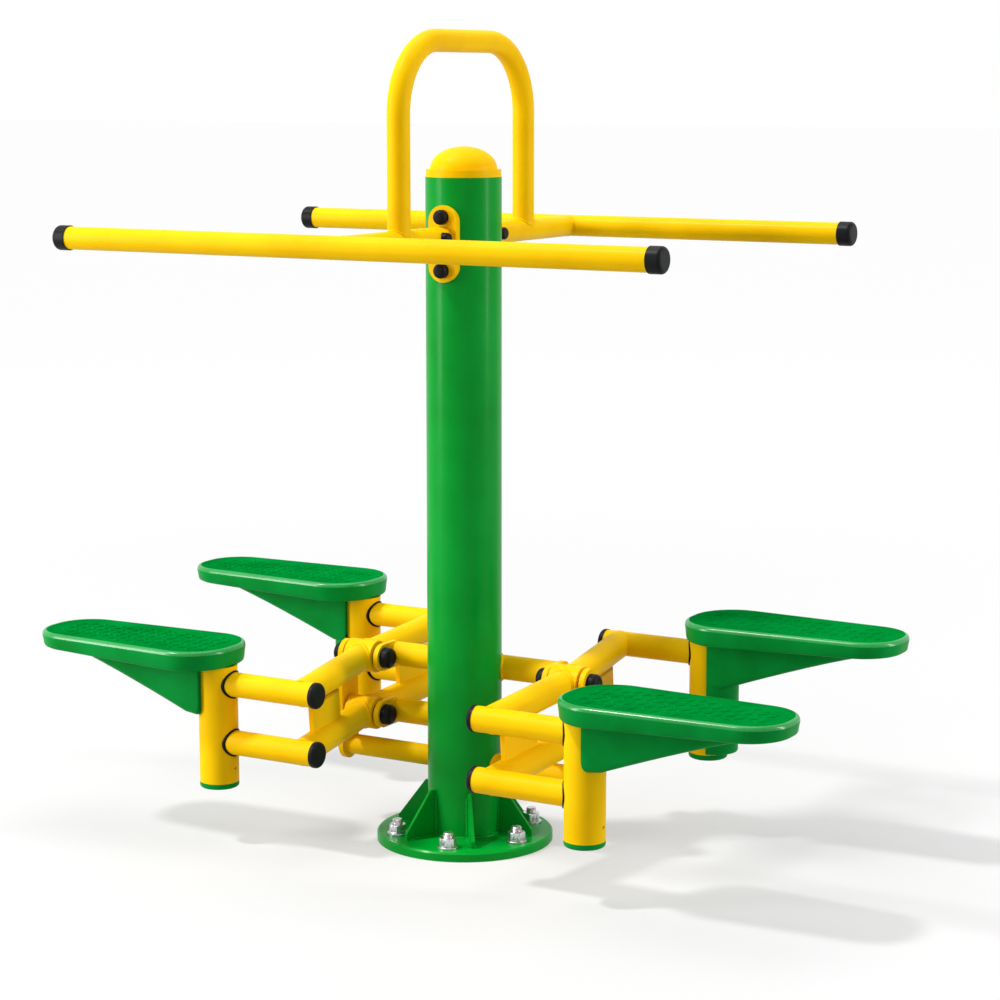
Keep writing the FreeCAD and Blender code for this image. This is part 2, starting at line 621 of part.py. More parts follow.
def build_pivot_arm(side, way, level, height):
    """Tube from the post with the lug that holds the inner end of an axle."""
    name = f"{side}_{level}_pivot"
    offset = "pivot_tube_offset"
    back = f"{LUG_FACE} - lug_thick"
    skin = cylinder(f"{name}_skin", "pivot_tube_outer", back, ("0", offset, height), ALONG_X[way])
    lug = []
    for index, spot in enumerate(("0", offset)):
        start = (signed(way, back), spot, height)
        lug.append(cylinder(f"{name}_lug_{index}", "lug_width", "lug_thick", start, ALONG_X[way]))
    middle = (signed(way, f"{LUG_FACE} - lug_thick / 2"), f"{offset} / 2", height)
    lug.append(box(f"{name}_lug_block", ("lug_thick", "pivot_tube_offset", "lug_width"), middle))
    bore = cylinder(
        f"{name}_bore", "pivot_tube_outer - 2 * pivot_tube_wall", back, ("0", offset, height), ALONG_X[way]
    )
    cope = cylinder(f"{name}_cope", "post_outer", POST_TOP)
    hole = cylinder(f"{name}_hole", "axle_size", PLATE_FACE, ("0", "0", height), ALONG_X[way])
    arm = fuse(f"{name}_body", [skin] + lug)
    node(cut(f"{name}_cut", arm, [bore, cope, hole]), f"{side}_{level}_pivot_arm")


def build_stay(side, way):
    """Stay tube that passes under the rockers, and the plate on it that holds the axles' outer ends."""
    far = f"{PLATE_FACE} + outer_plate_thick + stay_overhang"
    start = ("0", "0", "stay_height")
    skin = cylinder(f"{side}_stay_skin", "stay_outer", far, start, ALONG_X[way])
    bore = cylinder(f"{side}_stay_bore", "stay_outer - 2 * stay_wall", far, start, ALONG_X[way])
    cope = cylinder(f"{side}_stay_cope", "post_outer", POST_TOP)
    node(cut(f"{side}_stay_cut", skin, [bore, cope]), f"{side}_stay_tube")

    pieces = []
    near = signed(way, PLATE_FACE)
    for index, height in enumerate(("stay_height", "pivot_height")):
        name = f"{side}_plate_round_{index}"
        spot = (near, "0", height)
        pieces.append(cylinder(name, "outer_plate_width", "outer_plate_thick", spot, ALONG_X[way]))
    middle = (signed(way, f"{PLATE_FACE} + outer_plate_thick / 2"), "0", "(stay_height + pivot_height) / 2")
    size = ("outer_plate_thick", "outer_plate_width", "pivot_height - stay_height")
    pieces.append(box(f"{side}_plate_block", size, middle))
    tools = [cylinder(f"{side}_plate_stay_hole", "stay_outer", far, start, ALONG_X[way])]
    for level, height in LEVELS:
        name = f"{side}_{level}_plate_hole"
        spot = (near, "0", height)
        tools.append(cylinder(name, "axle_size", "outer_plate_thick", spot, ALONG_X[way]))
    body = fuse(f"{side}_outer_plate_body", pieces)
    node(cut(f"{side}_outer_plate_cut", body, tools), f"{side}_outer_plate")


def build_axles(side, way):
    """Axle bolts with nuts and spacers, and the black caps over both ends."""
    inner_seat = f"{LUG_FACE} - lug_thick"
    outer_seat = f"{PLATE_FACE} + outer_plate_thick"
    bolts, caps = [], []
    for level, height in LEVELS:
        name = f"{side}_{level}_axle"
        near = (signed(way, inner_seat), "0", height)
        far = (signed(way, outer_seat), "0", height)
        head = hexagon(f"{name}_head", "axle_head_flats", "axle_head", near, ALONG_X[-way])
        length = f"{outer_seat} - ({inner_seat}) + axle_nut"
        shank = cylinder(f"{name}_shank", "axle_size", length, near, ALONG_X[way])
        bolts.append(fuse(f"{name}_bolt", [head, shank]))
        blank = hexagon(f"{name}_nut_blank", "axle_head_flats", "axle_nut", far, ALONG_X[way])
        bore = cylinder(f"{name}_nut_bore", "axle_size", "axle_nut", far, ALONG_X[way])
        bolts.append(cut(f"{name}_nut", blank, [bore]))
        spacer_length = "spacer_thick - side_gap"
        for end, face in (("inner", LUG_FACE), ("outer", f"{PLATE_FACE} - ({spacer_length})")):
            spot = (signed(way, face), "0", height)
            ring = cylinder(f"{name}_{end}_spacer_skin", "spacer_outer", spacer_length, spot, ALONG_X[way])
            hole = cylinder(f"{name}_{end}_spacer_hole", "axle_size", spacer_length, spot, ALONG_X[way])
            bolts.append(cut(f"{name}_{end}_spacer", ring, [hole]))
        for end, spot, turn in (("inner", near, ALONG_X[-way]), ("outer", far, ALONG_X[way])):
            cap = hollow_cap(f"{name}_{end}_cap", "axle_cap_outer", "axle_cap_height", "axle_cap_round")
            caps.append(place(cap, spot, turn))
    node(group(f"{side}_axle_set", bolts), f"{side}_axle_bolts")
    node(group(f"{side}_axle_cap_set", caps), f"{side}_axle_caps")


# Rockers: beam, hub and spindles in one weldment, with bearings, caps and stops


def seat_on_axle(thing, way, height):
    """Puts a piece made about its axle at the station, tilted as at rest."""
    place(thing, (signed(way, "rocker_plane"), "0", height), Rotation(Vector(1, 0, 0), 1))
    bind(thing, "Placement.Rotation.Angle", "rest_tilt")
    return thing


def splay(name, piece, way, sign):
    """Turns a piece made along Y about the hub's middle, to the slant of its beam in plan."""
    slanted = place(group(name, [piece]), ("0", "0", "0"), Rotation(Vector(0, 0, way * sign), 1))
    bind(slanted, "Placement.Rotation.Angle", "beam_splay")
    return slanted


BEAM_LENGTH = "arm_reach / cos(beam_splay)"
BEAM_SHIFT = "arm_reach * tan(beam_splay)"
BUSH_OUTER = "spindle_outer + 2 * spindle_gap + 2 * bush_wall"
BUSH_END = f"sqrt((pedal_post_outer / 2 - pedal_post_wall)^2 - (({BUSH_OUTER}) / 2)^2) - side_gap"
STOP_TOP = "pivot_spacing * cos(full_tilt) - beam_outer / 2 - stop_gap"
STOP_PLATE_TOP = f"{STOP_TOP} - pad_thick"


def build_rocker(side, way, level, height):
    """One rocker of a station, with its bearings and spindle caps."""
    name = f"{side}_{level}_rocker"
    hub_start = (signed(-way, "hub_length / 2"), "0", "0")
    pieces = [cylinder(f"{name}_hub", "hub_outer", "hub_length", hub_start, ALONG_X[way])]
    tools = [cylinder(f"{name}_hub_bore", "hub_bore", "hub_length", hub_start, ALONG_X[way])]
    bearings, caps = [], []
    for end, sign in SIDES:
        seat = (signed(sign, "hub_length / 2"), "0", "0")
        tools.append(cylinder(f"{name}_{end}_seat", "bearing_outer", "bearing_width", seat, ALONG_X[-sign]))
        skin = cylinder(f"{name}_{end}_bearing_skin", "bearing_outer", "bearing_width", seat, ALONG_X[-sign])
        bore = cylinder(
            f"{name}_{end}_bearing_bore", "axle_size + 2 * run_gap", "bearing_width", seat, ALONG_X[-sign]
        )
        bearings.append(cut(f"{name}_{end}_bearing", skin, [bore]))
    spindle_start = f"{BEAM_SHIFT} + beam_outer / 2 + spindle_overhang"
    spindle_length = f"{spindle_start} + pedal_plane - rocker_plane + {BUSH_END} - spindle_end_gap"
    cavity = "arm_reach - spindle_outer / 2 - hub_outer / 2 - 2 * beam_wall"
    for end, sign in ENDS:
        beam = cylinder(f"{name}_{end}_beam", "beam_outer", BEAM_LENGTH, ("0", "0", "0"), ALONG_Y[sign])
        if level == "lower":
            beam = fuse(f"{name}_{end}_beam_body", [beam, stop_plate(side, end, sign)])
        pieces.append(splay(f"{name}_{end}_arm", beam, way, sign))
        start = (signed(-way, spindle_start), signed(sign, "arm_reach"), "0")
        pieces.append(cylinder(f"{name}_{end}_spindle", "spindle_outer", spindle_length, start, ALONG_X[way]))
        bore = "spindle_outer - 2 * spindle_wall"
        tools.append(cylinder(f"{name}_{end}_spindle_bore", bore, spindle_length, start, ALONG_X[way]))
        hollow = ("0", signed(sign, "hub_outer / 2 + beam_wall"), "0")
        beam_bore = cylinder(
            f"{name}_{end}_beam_bore", "beam_outer - 2 * beam_wall", cavity, hollow, ALONG_Y[sign]
        )
        tools.append(splay(f"{name}_{end}_arm_bore", beam_bore, way, sign))
        plug = f"{bore} - 2 * snug_gap"
        cap = plug_cap(
            f"{name}_{end}_cap",
            "spindle_cap_outer",
            "spindle_cap_length",
            "spindle_cap_round",
            plug,
            "spindle_cap_plug",
        )
        caps.append(place(cap, start, ALONG_X[-way]))
    if level == "lower":
        pads = [splay(f"{name}_{end}_pad_turn", stop_pad(side, end, sign), way, sign) for end, sign in ENDS]
        node(seat_on_axle(group(f"{side}_pad_set", pads), way, height), f"{side}_stop_pads")
    weldment = cut(f"{name}_cut", fuse(f"{name}_body", pieces), tools)
    node(seat_on_axle(weldment, way, height), name)
    node(seat_on_axle(group(f"{name}_bearing_set", bearings), way, height), f"{side}_{level}_bearings")
    node(seat_on_axle(group(f"{name}_cap_set", caps), way, height), f"{side}_{level}_spindle_caps")


def stop_plate(side, end, sign):
    """Plate that stands on a lower beam and ends just below the upper one."""
    middle = ("0", signed(sign, "stop_place"), f"({STOP_PLATE_TOP}) / 2")
    return box(f"{side}_{end}_stop_plate", ("stop_thick", "stop_length", STOP_PLATE_TOP), middle)


def stop_pad(side, end, sign):
    """Buffer pad on a stop plate, which meets the upper beam at full tilt."""
    middle = ("0", signed(sign, "stop_place"), f"{STOP_PLATE_TOP} + pad_thick / 2")
    return box(f"{side}_{end}_pad", ("pad_width", "stop_length", "pad_thick"), middle)


# Pedals: post, bushes, plug and footplate, made about the upper spindle


def seat_on_spindle(thing, way, sign):
    """Puts a piece made about the upper spindle at its pedal, level as at rest."""
    spot = (
        signed(way, "pedal_plane"),
        signed(sign, "arm_reach * cos(rest_tilt)"),
        f"pivot_height + {signed(sign, 'arm_reach * sin(rest_tilt)')}",
    )
    return place(thing, spot, UPRIGHT if way > 0 else HALF_TURN)


def build_pedal_post(name, way, sign):
    """Upright pedal post with its two bushes and the plug in its lower end."""
    foot = ("0", "0", "-pivot_spacing - pedal_post_below")
    length = "pedal_post_above + pivot_spacing + pedal_post_below"
    skin = cylinder(f"{name}_post_skin", "pedal_post_outer", length, foot)
    tools = [cylinder(f"{name}_post_bore", "pedal_post_outer - 2 * pedal_post_wall", length, foot)]
    outside = "pedal_post_outer / 2 + bush_proud"
    bushes = []
    length_over = f"pedal_post_outer + {BUSH_END}"
    for level, height in (("upper", "0"), ("lower", "-pivot_spacing")):
        start = ("-pedal_post_outer", "0", height)
        tools.append(cylinder(f"{name}_{level}_bush_hole", BUSH_OUTER, "pedal_post_outer", start, ALONG_X[1]))
        skin_of_bush = cylinder(f"{name}_{level}_sleeve", BUSH_OUTER, length_over, start, ALONG_X[1])
        bore_size = "spindle_outer + 2 * spindle_gap"
        bore = cylinder(f"{name}_{level}_sleeve_bore", bore_size, length_over, start, ALONG_X[1])
        limit_start = ("0", "0", f"{height} - pedal_post_outer")
        limit = cylinder(f"{name}_{level}_limit", f"2 * ({outside})", "2 * pedal_post_outer", limit_start)
        trimmed = doc.addObject("Part::Common", f"{name}_{level}_bush")
        trimmed.Base = cut(f"{name}_{level}_sleeve_cut", skin_of_bush, [bore])
        trimmed.Tool = limit
        bushes.append(trimmed)
    drain = ("-pedal_post_outer", "0", "drain_height - pivot_spacing - pedal_post_below")
    tools.append(cylinder(f"{name}_drain", "drain_hole", "2 * pedal_post_outer", drain, ALONG_X[1]))
    node(seat_on_spindle(cut(f"{name}_post_cut", skin, tools), way, sign), f"{name}_pedal_post")
    node(seat_on_spindle(group(f"{name}_bush_set", bushes), way, sign), f"{name}_spindle_bushes")
    plug_bore = "pedal_post_outer - 2 * pedal_post_wall - 2 * snug_gap"
    plug = plug_cap(
        f"{name}_plug_body", "pedal_post_outer", "plug_height", "plug_round", plug_bore, "plug_depth"
    )
    spot = (
        signed(way, "pedal_plane"),
        signed(sign, "arm_reach * cos(rest_tilt)"),
        f"pivot_height + {signed(sign, 'arm_reach * sin(rest_tilt)')} - pivot_spacing - pedal_post_below",
    )
    node(place(plug, spot, DOWNWARD), f"{name}_post_plug")


def near_outer_end(edge, shape):
    """True for an edge in the outer half of a footplate."""
    return edge.CenterOfMass.x > shape.BoundBox.Center.x


def is_outer_corner(edge, shape):
    """True for an upright edge at a footplate's outer end."""
    return is_upright(edge) and near_outer_end(edge, shape)


def is_inner_corner(edge, shape):
    """True for an upright edge at a footplate's inner end."""
    return is_upright(edge) and not near_outer_end(edge, shape)


def is_upper_edge(edge, shape):
    """True for an edge around the top."""
    return edge.BoundBox.ZMin > shape.BoundBox.ZMax - NEAR


def footplate_corners(inset):
    """Corners of the footplate's outline, moved inwards."""
    inner = f"-pedal_inboard + {inset}"
    outer = f"pedal_length - pedal_inboard - {inset}"
    inner_half = f"pedal_inner_width / 2 - {inset}"
    outer_half = f"pedal_outer_width / 2 - {inset}"
    return [
        (inner, f"-({inner_half})"),
        (outer, f"-({outer_half})"),
        (outer, outer_half),
        (inner, inner_half),
    ]


def bracket_section(width, depth):
    """Corners of the wedge bracket's cross-section, hanging from the footplate."""
    low, high = f"pedal_post_above - ({depth})", "pedal_post_above + pedal_taper"
    return [(f"-{width} / 2", low), (f"{width} / 2", low), (f"{width} / 2", high), (f"-{width} / 2", high)]


def footplate(name, inset, low, height):
    """A tapered plate with rounded corners, its outline moved inwards."""
    body = doc.addObject("PartDesign::Body", name)
    slab = sketch_on(body, f"{name}_slab", "XY_Plane", low)
    outline(slab, footplate_corners(inset))
    feature(body, "Pad", f"{name}_pad", slab, height)
    round_off(body, f"{name}_outer_corners", f"pedal_outer_round - {inset}", is_outer_corner)
    round_off(body, f"{name}_inner_corners", f"pedal_inner_round - {inset}", is_inner_corner)
    return body


def build_pedal(name, way, sign):
    """Tapered footplate with a recessed tread and the wedge bracket that wraps the pedal post."""
    body = footplate(f"{name}_footplate", "0", "pedal_post_above", "pedal_height")
    outer = "pedal_length - pedal_inboard"
    underside = sketch_on(body, f"{name}_underside", "XZ_Plane")
    slope = [
        ("pedal_post_outer / 2", "pedal_post_above"),
        (outer, "pedal_post_above"),
        (outer, "pedal_post_above + pedal_taper"),
    ]
    outline(underside, slope)
    feature(body, "Pocket", f"{name}_slope", underside, "2 * pedal_inner_width").SideType = "Symmetric"
    round_off(body, f"{name}_rim", "pedal_rim_round", is_upper_edge)
    floor = "pedal_post_above + pedal_height - tread_depth"
    recess = footplate(f"{name}_tread", "tread_inset", floor, "2 * tread_depth")
    sections = []
    for part, width, depth, reach in (
        ("root", "bracket_width", "bracket_depth", "bracket_start"),
        ("knee", "bracket_flat_width", "bracket_flat_depth", "bracket_flat"),
        ("tip", "bracket_tip_width", "-bracket_tip_rise", "bracket_reach"),
    ):
        section = sketch_on(body, f"{name}_bracket_{part}", "YZ_Plane", reach)
        outline(section, bracket_section(width, depth))
        sections.append(section)
    wedge = body.newObject("PartDesign::AdditiveLoft", f"{name}_bracket")
    wedge.Profile = sections[0]
    wedge.Sections = sections[1:]
    wedge.Ruled = True
    seat = sketch_on(body, f"{name}_post_seat", "XY_Plane", "pedal_post_above")
    circle(seat, "pedal_post_outer")
    feature(body, "Pocket", f"{name}_post_pocket", seat, "bracket_depth")
    node(seat_on_spindle(cut(f"{name}_pedal_cut", body, [recess]), way, sign), f"{name}_pedal")


build_flange()
build_gussets()
build_post()
bar_caps = []
for end, sign in ENDS:
    build_bracket(end, sign)
    bar_caps += build_arm_and_bar(end, sign)
node(group("bar_cap_set", bar_caps), "handlebar_end_caps")
build_hoop()
build_handle_fasteners()
for side, way in SIDES:
    for level, height in LEVELS:
        build_pivot_arm(side, way, level, height)
        build_rocker(side, way, level, height)
    build_stay(side, way)
    build_axles(side, way)
    for end, sign in ENDS:
        build_pedal_post(f"{side}_{end}", way, sign)
        build_pedal(f"{side}_{end}", way, sign)
doc.recompute()

for thing in doc.Objects:
    if {"Invalid", "Error"} & set(thing.State):
        raise RuntimeError(f"{thing.Label} did not recompute: {thing.State}")
os.makedirs("parts", exist_ok=True)
for thing in NODES:
    if thing.Shape.isNull() or not thing.Shape.isValid():
        raise RuntimeError(f"{thing.Label} has no valid shape")
    thing.Shape.exportStep(f"parts/{thing.Label}.step")
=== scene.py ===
"""Looks of an outdoor stepper: a flanged green post, yellow handlebars and rockers, four green pedals."""

from __future__ import annotations

import json
import logging
import math
from abc import ABC, abstractmethod
from dataclasses import dataclass, field
from enum import Enum
from typing import Iterable, Sequence

import bmesh
import bpy
from mathutils import Matrix, Vector

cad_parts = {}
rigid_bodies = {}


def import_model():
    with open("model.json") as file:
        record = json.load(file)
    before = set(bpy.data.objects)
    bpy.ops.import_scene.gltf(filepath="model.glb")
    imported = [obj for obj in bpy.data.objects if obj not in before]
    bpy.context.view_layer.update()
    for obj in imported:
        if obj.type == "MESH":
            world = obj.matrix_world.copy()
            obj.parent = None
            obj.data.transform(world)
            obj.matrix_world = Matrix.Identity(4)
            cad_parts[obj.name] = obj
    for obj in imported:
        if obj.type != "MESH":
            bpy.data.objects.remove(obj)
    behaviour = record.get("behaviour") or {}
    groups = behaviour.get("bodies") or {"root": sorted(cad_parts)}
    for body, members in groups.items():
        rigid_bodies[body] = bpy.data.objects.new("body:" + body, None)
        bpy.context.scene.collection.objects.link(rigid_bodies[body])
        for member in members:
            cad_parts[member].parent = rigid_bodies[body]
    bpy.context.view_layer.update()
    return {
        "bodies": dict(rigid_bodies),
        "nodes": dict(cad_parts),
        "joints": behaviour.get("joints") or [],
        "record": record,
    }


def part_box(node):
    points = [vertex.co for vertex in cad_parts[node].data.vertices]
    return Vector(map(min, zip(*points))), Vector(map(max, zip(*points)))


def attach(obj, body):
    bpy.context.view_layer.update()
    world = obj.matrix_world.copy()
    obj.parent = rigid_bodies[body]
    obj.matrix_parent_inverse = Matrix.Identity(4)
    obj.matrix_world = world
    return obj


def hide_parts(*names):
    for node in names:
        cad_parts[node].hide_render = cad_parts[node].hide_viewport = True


MM = 0.001
TURN = 2.0 * math.pi
QUARTER = TURN / 4
UP = Vector((0.0, 0.0, 1.0))
IMAGE_SIDE = 1000
WHITE = "#FFFFFF"
# Points that lie closer together than this become one.
SAME_POINT = 0.005 * MM

log = logging.getLogger("stepper")

Pair = tuple[float, float]
Triple = tuple[float, float, float]
Mesh = bmesh.types.BMesh
Tree = bpy.types.NodeTree
Socket = bpy.types.NodeSocket
Links = dict[str | int, Socket]


class Slot(Enum):
    """Material slots of the record."""

    GREEN_PAINT = "green_paint"
    YELLOW_PAINT = "yellow_paint"
    GREEN_PLASTIC = "green_plastic"
    BLACK_PLASTIC = "black_plastic"
    STOP_RUBBER = "stop_rubber"
    ZINC_STEEL = "zinc_steel"
    BEARING_STEEL = "bearing_steel"


class Side(Enum):
    """The two stations, with the sign of their place along X."""

    LEFT = -1
    RIGHT = 1

    @property
    def station(self) -> str:
        """Gives the station's name as nodes, bodies and joints have it."""
        return self.name.lower()


class End(Enum):
    """The two ends of a rocker, with the sign of their place along Y."""

    FRONT = -1
    REAR = 1


def linear(code: str) -> tuple[float, float, float, float]:
    """Turns an sRGB hex colour into linear RGBA by the formula of the sRGB standard.

    Args:
        code: Six hex digits with a leading hash sign.

    Returns:
        The linear colour with full alpha.
    """
    parts = [int(code[i:i + 2], 16) / 255.0 for i in (1, 3, 5)]
    red, green, blue = [c / 12.92 if c <= 0.04045 else ((c + 0.055) / 1.055) ** 2.4 for c in parts]
    return red, green, blue, 1.0


def add_node(tree: Tree, kind: str, links: Links | None = None, **settings: object) -> bpy.types.Node:
    """Adds a node to a tree.

    Args:
        tree: The node tree.
        kind: Blender's name of the node type.
        links: Output sockets by the name or number of the input that they feed.
        settings: Attributes of the node, or values of its inputs by their names with underscores.

    Returns:
        The new node.
    """
    node = tree.nodes.new(kind)
    for name, value in settings.items():
        if hasattr(node, name):
            setattr(node, name, value)
        else:
            node.inputs[name.replace("_", " ")].default_value = value
    for socket, source in (links or {}).items():
        tree.links.new(source, node.inputs[socket])
    return node


def empty_material(name: str) -> tuple[bpy.types.Material, Tree]:
    """Makes a material with no nodes.

    Args:
        name: The material's name.

    Returns:
        The material and its node tree.
    """
    material = bpy.data.materials.new(name)
    material.use_nodes = True
    material.node_tree.nodes.clear()
    return material, material.node_tree


def object_place(tree: Tree) -> Socket:
    """Adds the place on the object, in metres."""
    return add_node(tree, "ShaderNodeTexCoord").outputs["Object"]


def noise(tree: Tree, size_mm: float, detail: float) -> Socket:
    """Adds a noise over the object.

    Args:
        tree: The node tree.
        size_mm: Size of the noise's features.
        detail: How many finer layers it has.

    Returns:
        The socket of its value.
    """
    scale = 1 / (size_mm * MM)
    node = add_node(tree, "ShaderNodeTexNoise", {"Vector": object_place(tree)}, Scale=scale, Detail=detail)
    return node.outputs["Fac"]


def spread(tree: Tree, factor: Socket, limits: Pair) -> Socket:
    """Adds a value that follows a factor between two limits, its values at 0 and at 1."""
    low, high = limits
    return add_node(tree, "ShaderNodeMapRange", {"Value": factor}, To_Min=low, To_Max=high).outputs["Result"]


def relief(tree: Tree, factor: Socket, strength: float, height_mm: float) -> Socket:
    """Adds a bump that follows a factor, with its strength and its full height."""
    bump = add_node(tree, "ShaderNodeBump", {"Height": factor}, Strength=strength, Distance=height_mm * MM)
    return bump.outputs["Normal"]


def ramp(tree: Tree, factor: Socket, places: Sequence[float], codes: Sequence[str]) -> Socket:
    """Adds a colour ramp.

    Args:
        tree: The node tree.
        factor: The socket that drives the ramp.
        places: Where the colours stand on the ramp, in order.
        codes: The hex colour of each place.

    Returns:
        The socket of the colour.
    """
    node = add_node(tree, "ShaderNodeValToRGB", {"Fac": factor})
    elements = node.color_ramp.elements
    while len(elements) < len(places):
        elements.new(0.5)
    for element, place, code in zip(elements, places, codes):
        element.position = place
        element.color = linear(code)
    return node.outputs["Color"]


def add_surface(tree: Tree, links: Links, **settings: object) -> None:
    """Adds the shader of a material, with the links and settings of its inputs, and the output."""
    shader = add_node(tree, "ShaderNodeBsdfPrincipled", links, **settings)
    add_node(tree, "ShaderNodeOutputMaterial", {"Surface": shader.outputs["BSDF"]})


@dataclass(frozen=True)
class Finish(ABC):
    """A finish: the name of its material and three close shades of its colour."""

    name: str
    light: str
    base: str
    deep: str

    def shades(self, tree: Tree, factor: Socket, places: Triple) -> Socket:
        """Adds the colour, which follows a factor through the deep, base and light shades."""
        return ramp(tree, factor, places, (self.deep, self.base, self.light))

    @abstractmethod
    def material(self) -> bpy.types.Material:
        """Makes the material."""


@dataclass(frozen=True)
class Polymer(Finish):
    """A polymer skin: slow clouds in the colour, a fine grain in the bump and a clear coat."""

    shade_places: Triple = (0.25, 0.5, 0.8)
    cloud_mm: float = 60.0
    cloud_detail: float = 4.0
    grain_mm: float = 1.6
    grain_detail: float = 2.0
    grain_strength: float = 0.4
    grain_height_mm: float = 0.06
    grain_in_gloss: bool = True
    roughness: Pair = (0.34, 0.46)
    specular: float = 0.09
    coat: float = 0.0
    coat_roughness: float = 0.1
    refraction: float = 1.49

    def material(self) -> bpy.types.Material:
        """Makes the material, whose gloss changes with the grain or else with the clouds.

        Returns:
            The material.
        """
        material, tree = empty_material(self.name)
        clouds = noise(tree, self.cloud_mm, self.cloud_detail)
        grain = noise(tree, self.grain_mm, self.grain_detail)
        sockets = {
            "Base Color": self.shades(tree, clouds, self.shade_places),
            "Roughness": spread(tree, grain if self.grain_in_gloss else clouds, self.roughness),
            "Normal": relief(tree, grain, self.grain_strength, self.grain_height_mm),
        }
        add_surface(
            tree, sockets, IOR=self.refraction, Specular_IOR_Level=self.specular,
            Coat_Weight=self.coat, Coat_Roughness=self.coat_roughness,
        )
        return material


@dataclass(frozen=True)
class MouldedPlastic(Polymer):
    """Moulded polymer, coloured through: a satin skin with the grain of the mould."""


@dataclass(frozen=True)
class PowderCoat(Polymer):
    """Polyester powder coat baked on steel: an even colour under a clear gloss, with a faint orange peel."""

    shade_places: Triple = (0.25, 0.5, 0.78)
    cloud_mm: float = 90.0
    cloud_detail: float = 3.0
    grain_mm: float = 5.0
    grain_detail: float = 1.0
    grain_strength: float = 0.35
    grain_height_mm: float = 0.05
    grain_in_gloss: bool = False
    roughness: Pair = (0.26, 0.36)
    specular: float = 0.08
    coat: float = 0.03
    coat_roughness: float = 0.12
    refraction: float = 1.5


@dataclass(frozen=True)
class PlatedSteel(Finish):
    """Steel with a bright zinc or ground surface: pale metal with a spangle of slightly different greys."""

    shade_places: Triple = (0.0, 0.45, 0.9)
    spangle_mm: float = 3.0
    roughness: Pair = (0.24, 0.4)

    def material(self) -> bpy.types.Material:
        """Makes the material: cells of grey for the spangle, which also change the gloss.

        Returns:
            The material.
        """
        material, tree = empty_material(self.name)
        scale = 1 / (self.spangle_mm * MM)
        spangle = add_node(tree, "ShaderNodeTexVoronoi", {"Vector": object_place(tree)}, Scale=scale)
        cells = spangle.outputs["Distance"]
        sockets = {
            "Base Color": self.shades(tree, cells, self.shade_places),
            "Roughness": spread(tree, cells, self.roughness),
        }
        add_surface(tree, sockets, Metallic=1.0)
        return material


FINISHES: dict[Slot, Finish] = {
    # Gloss polyester powder coat on steel: clean leaf green with long bright reflections along the tubes.
    Slot.GREEN_PAINT: PowderCoat("green_powder_coat", "#049F34", "#00972D", "#008D27"),
    # The same coat in signal yellow, with a softer gloss: slightly orange where it turns from the light.
    Slot.YELLOW_PAINT: PowderCoat(
        "yellow_powder_coat", "#FFCE06", "#FDC802", "#F6BE00",
        roughness=(0.36, 0.46), specular=0.045, coat=0.01,
    ),
    # Moulded glass-filled polyamide of the pedals: the same green, satin, a little deeper than the paint.
    Slot.GREEN_PLASTIC: MouldedPlastic("green_polyamide", "#04973C", "#008C34", "#00802C", specular=0.05),
    # Moulded polyethylene caps: near black with a soft sheen on the rounded edges.
    Slot.BLACK_PLASTIC: MouldedPlastic("black_polyethylene", "#1C1D1F", "#161718", "#111213"),
    # Cast polyurethane of the stop pads: amber, dull and slightly darker than the paint.
    Slot.STOP_RUBBER: MouldedPlastic(
        "cast_polyurethane", "#E2AC0C", "#D9A208", "#CC9604", roughness=(0.6, 0.75),
    ),
    # Bright zinc plating on nuts, bolts and washers: pale blue-grey metal.
    Slot.ZINC_STEEL: PlatedSteel("bright_zinc", "#D8DADD", "#C6C8CC", "#B2B5BA"),
    # Ground bearing steel: darker and smoother than zinc.
    Slot.BEARING_STEEL: PlatedSteel(
        "ground_bearing_steel", "#B4B5B8", "#A4A5A8", "#97989B", roughness=(0.18, 0.26),
    ),
}

# The pedals' rims: the same polyamide with more gloss, and a slightly lighter green that paints a highlight
# line along the rims.
RIM_HIGHLIGHT_FINISH = MouldedPlastic(
    "polished_green_polyamide", "#0A9A40", "#028F38", "#008430",
    grain_height_mm=0.01, roughness=(0.24, 0.32), specular=0.45, coat=0.1,
)

# The pedals' treads, etched rough in the mould: the same polyamide without gloss, in a darker green that
# paints the shade among the tread's bumps.
SHADE_DARKENED_TREAD_FINISH = MouldedPlastic(
    "etched_green_polyamide", "#028836", "#007E2F", "#007328", roughness=(0.6, 0.7), specular=0.0,
)


def new_object(name: str, data: bpy.types.ID) -> bpy.types.Object:
    """Makes an object from its data and puts it into the scene.

    Args:
        name: The object's name.
        data: Its mesh, lamp or camera.

    Returns:
        The new object.
    """
    obj = bpy.data.objects.new(name, data)
    bpy.context.scene.collection.objects.link(obj)
    return obj


def mesh_object(name: str, mesh: Mesh) -> bpy.types.Object:
    """Makes an object from a mesh.

    Args:
        name: The object's name.
        mesh: Its mesh in metres. It is freed.

    Returns:
        The new object.
    """
    data = bpy.data.meshes.new(name)
    mesh.to_mesh(data)
    mesh.free()
    return new_object(name, data)


def aim(obj: bpy.types.Object, way: Vector) -> None:
    """Turns a camera or a lamp to look along a direction."""
    obj.rotation_mode = "QUATERNION"
    obj.rotation_quaternion = way.to_track_quat("-Z", "Y")


def angles(steps: int) -> list[float]:
    """Gives angles that are spread evenly over a full turn."""
    return [TURN * i / steps for i in range(steps)]


